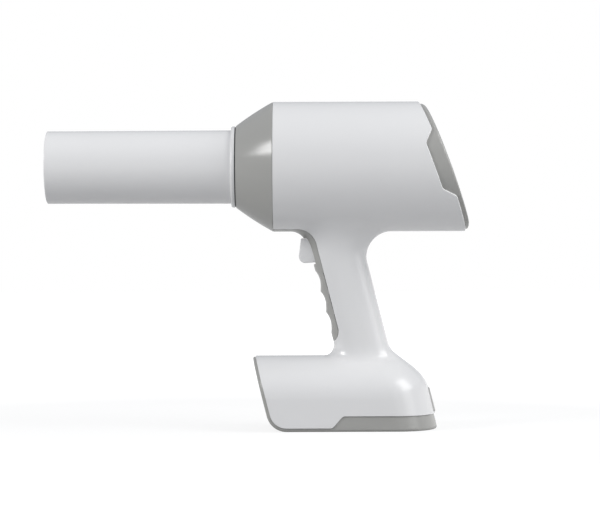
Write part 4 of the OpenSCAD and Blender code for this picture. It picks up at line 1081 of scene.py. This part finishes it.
key_foot, skirt_top, key_rim, key_top, mark_top, skirt_w = -4.4, -2.9, 0.9, 1.3, 1.36, 1.4
ring_in, ring_out = 2.9, 3.7
ring_mark = turned(box(ring_in, ring_out, key_rim, mark_top, 0.05, 0.1, 0.1, 0.05), 96)
mark_levels = rim_levels(0.8, mark_top, 0.05, 0.06)
marks = {"key_up": slab(regular(3, 2.5, 180), mark_levels),
         "key_down": slab(regular(3, 2.5, 0), mark_levels),
         "key_mode": slab(regular(4, 2.2, 45), mark_levels),
         "key_expose": ring_mark}
for name, u, y, r in keys:
    skirt_r = r + skirt_w
    cap = rounded([(0.01, key_foot, 0), (skirt_r, key_foot, 0), (skirt_r, skirt_top, 0.2),
                   (r, skirt_top, 0.2), (r, key_rim, 0.7), (r * 0.6, 1.22, 0),
                   (0.01, key_top, 0)], closed=False)
    put(name + "_cap", placed(turned(cap, 72, closed=False), *on_face(u, y)), key_white,
        [name], name + "_body")
    put(name + "_mark", placed(marks[name], *on_face(u, y)), grey,
        body=name + "_body")

# ---- Base cover ----

toe_outline = rounded([(toe_plane_x(120), 120, 0), (toe_plane_x(0), 0, toe_r),
                       (heel_bottom_x + 60, 0, 0), (heel_bottom_x + 60, 120, 0)])
grey_base = form_of(base_field(sole_inset))


def cover_field(p):
    """The base cover, its edge softer at the toe's corners than at the sole and the top."""
    r = np.interp(p[:, 2], [4, 18, 48, 62], [sole_edge_r, toe_corner_r, toe_corner_r, toe_top_r])
    return round_join(grey_base(p)[0], outline_distance(p[:, [0, 2]], toe_outline), r)


def toe_edge(z):
    """Where the cover begins at a height, with a plain slope under the toe's round."""
    bend_z = 14
    return toe_plane_x(max(z, bend_z)) + max(bend_z - z, 0) * 0.7


cover_levels = [0, 7, 14] + [z - sole_inset * (z > side_h) for z in arch]
cover = Skin(*fused([base_solid(sole_inset, toe_edge, cover_levels)], voxel=1.1),
             form_of(cover_field))
cover.cut(zone_field(sole_zone(0), -1), r=0.4, depth=2.2)
sole_seat_z, hole_top_z = 2.8, 6.0
for x, y, _ in islands("base_screws"):
    cover.cut(lambda p, x=x, y=y: np.maximum(np.hypot(p[:, 0] - x, p[:, 1] - y) - screw_hole_r,
                                             p[:, 2] - hole_top_z), r=0.3,
              straight=lambda p: np.array([p[0], p[1], sole_seat_z]))
cover.settle()
put("base_cover_skin", cover.shell(thickness=1.8), grey, ["base_cover"])

# ---- Charging port's cover ----

hinge_w = 1.0
flap_outline = box(hinge_w - port_h / 2, port_h / 2, -port_w / 2, port_w / 2, 2, 2, 0.8, 0.8)
flap = slab(flap_outline, rim_levels(-port_t, 0, 0.4, 1.1))
put("port_flap_cover", placed(flap, port_at, (port_down, (0, 1, 0), port_out)), grey_rubber,
    ["port_cover"], "port_flap")

# ---- Trigger ----

trigger_w, pivot_back, pivot_down = 18.0, 5.5, 1.4
pivot = np.array([grip_front(under_z) + strip_t + pivot_back, 0, under_z - pivot_down])
trigger_outline = rounded([
    (-16, -4.8, 1.1), (-7.4, -4.8, 1.2), (-3.2, 3.4, 3.5), (3.6, 2.6, 2.5), (0.2, -10, 4),
    (-2.2, -26.2, 1.4), (-19, -27.4, 6)])[::-1]
trigger = slab(trigger_outline, rim_levels(-trigger_w / 2, trigger_w / 2, 1.0, 1.0))
put("trigger_lever", placed(trigger, pivot, ((1, 0, 0), (0, 0, 1), (0, -1, 0))), white,
    ["trigger"], "trigger_body")

# ---- Pieces that stay as they are, with their finishes ----

finishes = {
    steel: ["shell_screws", "cone_lock_ring", "tank_screws", "board_screws", "panel_screws",
            "base_screws", "trigger_pin", "trigger_spring"],
    brass: ["shell_inserts"],
    cast: ["filter_disc", "tank_shell", "tank_lid", "heat_sink", "tube_cathode"],
    lead: ["collimator_disc", "tube_shield"],
    rubber: ["tank_seal", "keypad_mat", "harness", "trigger_lead"],
    grey_rubber: ["port_anchor"],
    copper: ["tube_anode"],
    glass: ["tube_envelope"],
    dark_glass: ["beam_window", "lcd_module"],
    epoxy: ["hv_multiplier", "tank_chassis"],
    winding: ["hv_winding"],
    green: ["inverter_board", "control_board", "battery_board"],
    cell_wrap: ["battery_cells", "power_capacitors"],
    black: ["hv_core", "buzzer", "trigger_frame", "trigger_switch", "battery_holder",
            "charge_socket"],
}
for material, names in finishes.items():
    for name in names:
        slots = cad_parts[name].data.materials
        if not slots:
            slots.append(material)
        for i in range(len(slots)):
            slots[i] = material

# ---- Floor, light and camera ----


def math_node(tree, operation, a, b):
    """The result of a Math node on two values or sockets."""
    return add(tree, "ShaderNodeMath", a, b, operation=operation).outputs[0]


def show_white(tree, shader, output, glow, to_camera, to_mirror):
    """Mixes a glow into a floor or a sky: shares that the camera sees, and mirrors and glass."""
    path = add(tree, "ShaderNodeLightPath")
    mirror = math_node(tree, "MAXIMUM", path.outputs["Is Glossy Ray"],
                       path.outputs["Is Transmission Ray"])
    seen = math_node(tree, "MAXIMUM",
                     math_node(tree, "MULTIPLY", path.outputs["Is Camera Ray"], to_camera),
                     math_node(tree, "MULTIPLY", mirror, to_mirror))
    mix = add(tree, "ShaderNodeMixShader", seen, shader.outputs[0], glow.outputs[0])
    feed(tree, output.inputs["Surface"], mix.outputs[0])


def studio_floor():
    """A pale floor that is plain white to look at, but for the object's faint shadow."""
    finish = Finish("studio_floor")
    reach = add(finish.tree, "ShaderNodeVectorMath", finish.place, operation="LENGTH")
    share = finish.spread(reach.outputs["Value"], low=0.62, high=1.0, start=0.4, end=1.2)
    mirror_part = 0.5
    glow = add(finish.tree, "ShaderNodeEmission", Strength=1.33)
    show_white(finish.tree, finish.shader, finish.tree.nodes["Material Output"], glow, share,
               math_node(finish.tree, "MULTIPLY", share, mirror_part))
    return finish.surface(finish.mix(finish.noise(20), (0.495, 0.495, 0.495),
                                     (0.505, 0.505, 0.505)), 0.9)


floor_mesh = bpy.data.meshes.new("floor")
floor_mesh.from_pydata([(-9, -9, 0), (9, -9, 0), (9, 9, 0), (-9, 9, 0)], [], [(0, 1, 2, 3)])
floor_mesh.materials.append(studio_floor())
floor = linked("floor", floor_mesh)
floor.location.z = -0.0002


def studio_sky():
    """An even, dim ceiling. The backdrop is plain white, and mirrors see it up to 15 degrees."""
    world = bpy.data.worlds.new("studio")
    world.use_nodes = True
    tree = world.node_tree
    ceiling = tree.nodes["Background"]
    ceiling.inputs["Color"].default_value = (0.94, 0.97, 1.04, 1)
    ceiling.inputs["Strength"].default_value = 0.41
    backdrop = add(tree, "ShaderNodeBackground", Color=(1, 1, 1, 1), Strength=1.0)
    place = add(tree, "ShaderNodeTexCoord").outputs["Generated"]
    height = add(tree, "ShaderNodeSeparateXYZ", place).outputs["Z"]
    low = add(tree, "ShaderNodeMapRange", Value=height, From_Min=0.09, From_Max=0.26, To_Min=1,
              To_Max=0)
    show_white(tree, ceiling, tree.nodes["World Output"], backdrop, 1.0, low.outputs["Result"])
    return world


bpy.context.scene.world = studio_sky()


def softbox(name, at, side, power):
    """A square area light that faces the middle of the unit."""
    data = bpy.data.lights.new(name, "AREA")
    data.size, data.energy = side, power
    lamp = linked(name, data)
    lamp.location = at
    lamp.rotation_euler = (middle - Vector(at)).to_track_quat("-Z", "Y").to_euler()


middle = Vector((0.03, 0, 0.16))
softbox("left_light", (-1.3, -0.8, 0.95), side=0.5, power=12.8)
softbox("right_light", (1.35, -0.45, 1.25), side=1.0, power=15.5)
softbox("side_light", (1.6, -0.8, 0.5), side=0.9, power=4)

camera_data = bpy.data.cameras.new("camera")
camera = linked("camera", camera_data)
bpy.context.scene.camera = camera
view_distance, frame_width = 1.9, 0.54
aim_x, aim_z, tilt = 0.038, 0.1473, math.radians(0.2)
camera_data.sensor_width = 36
camera_data.lens = 36 * view_distance / frame_width
camera.location = (aim_x, -view_distance, aim_z)
camera.rotation_mode = "QUATERNION"
roll = Matrix.Rotation(tilt, 4, "Y")
camera.rotation_quaternion = (roll @ Matrix.Rotation(math.pi / 2, 4, "X")).to_quaternion()

bpy.context.scene.view_settings.view_transform = "Standard"
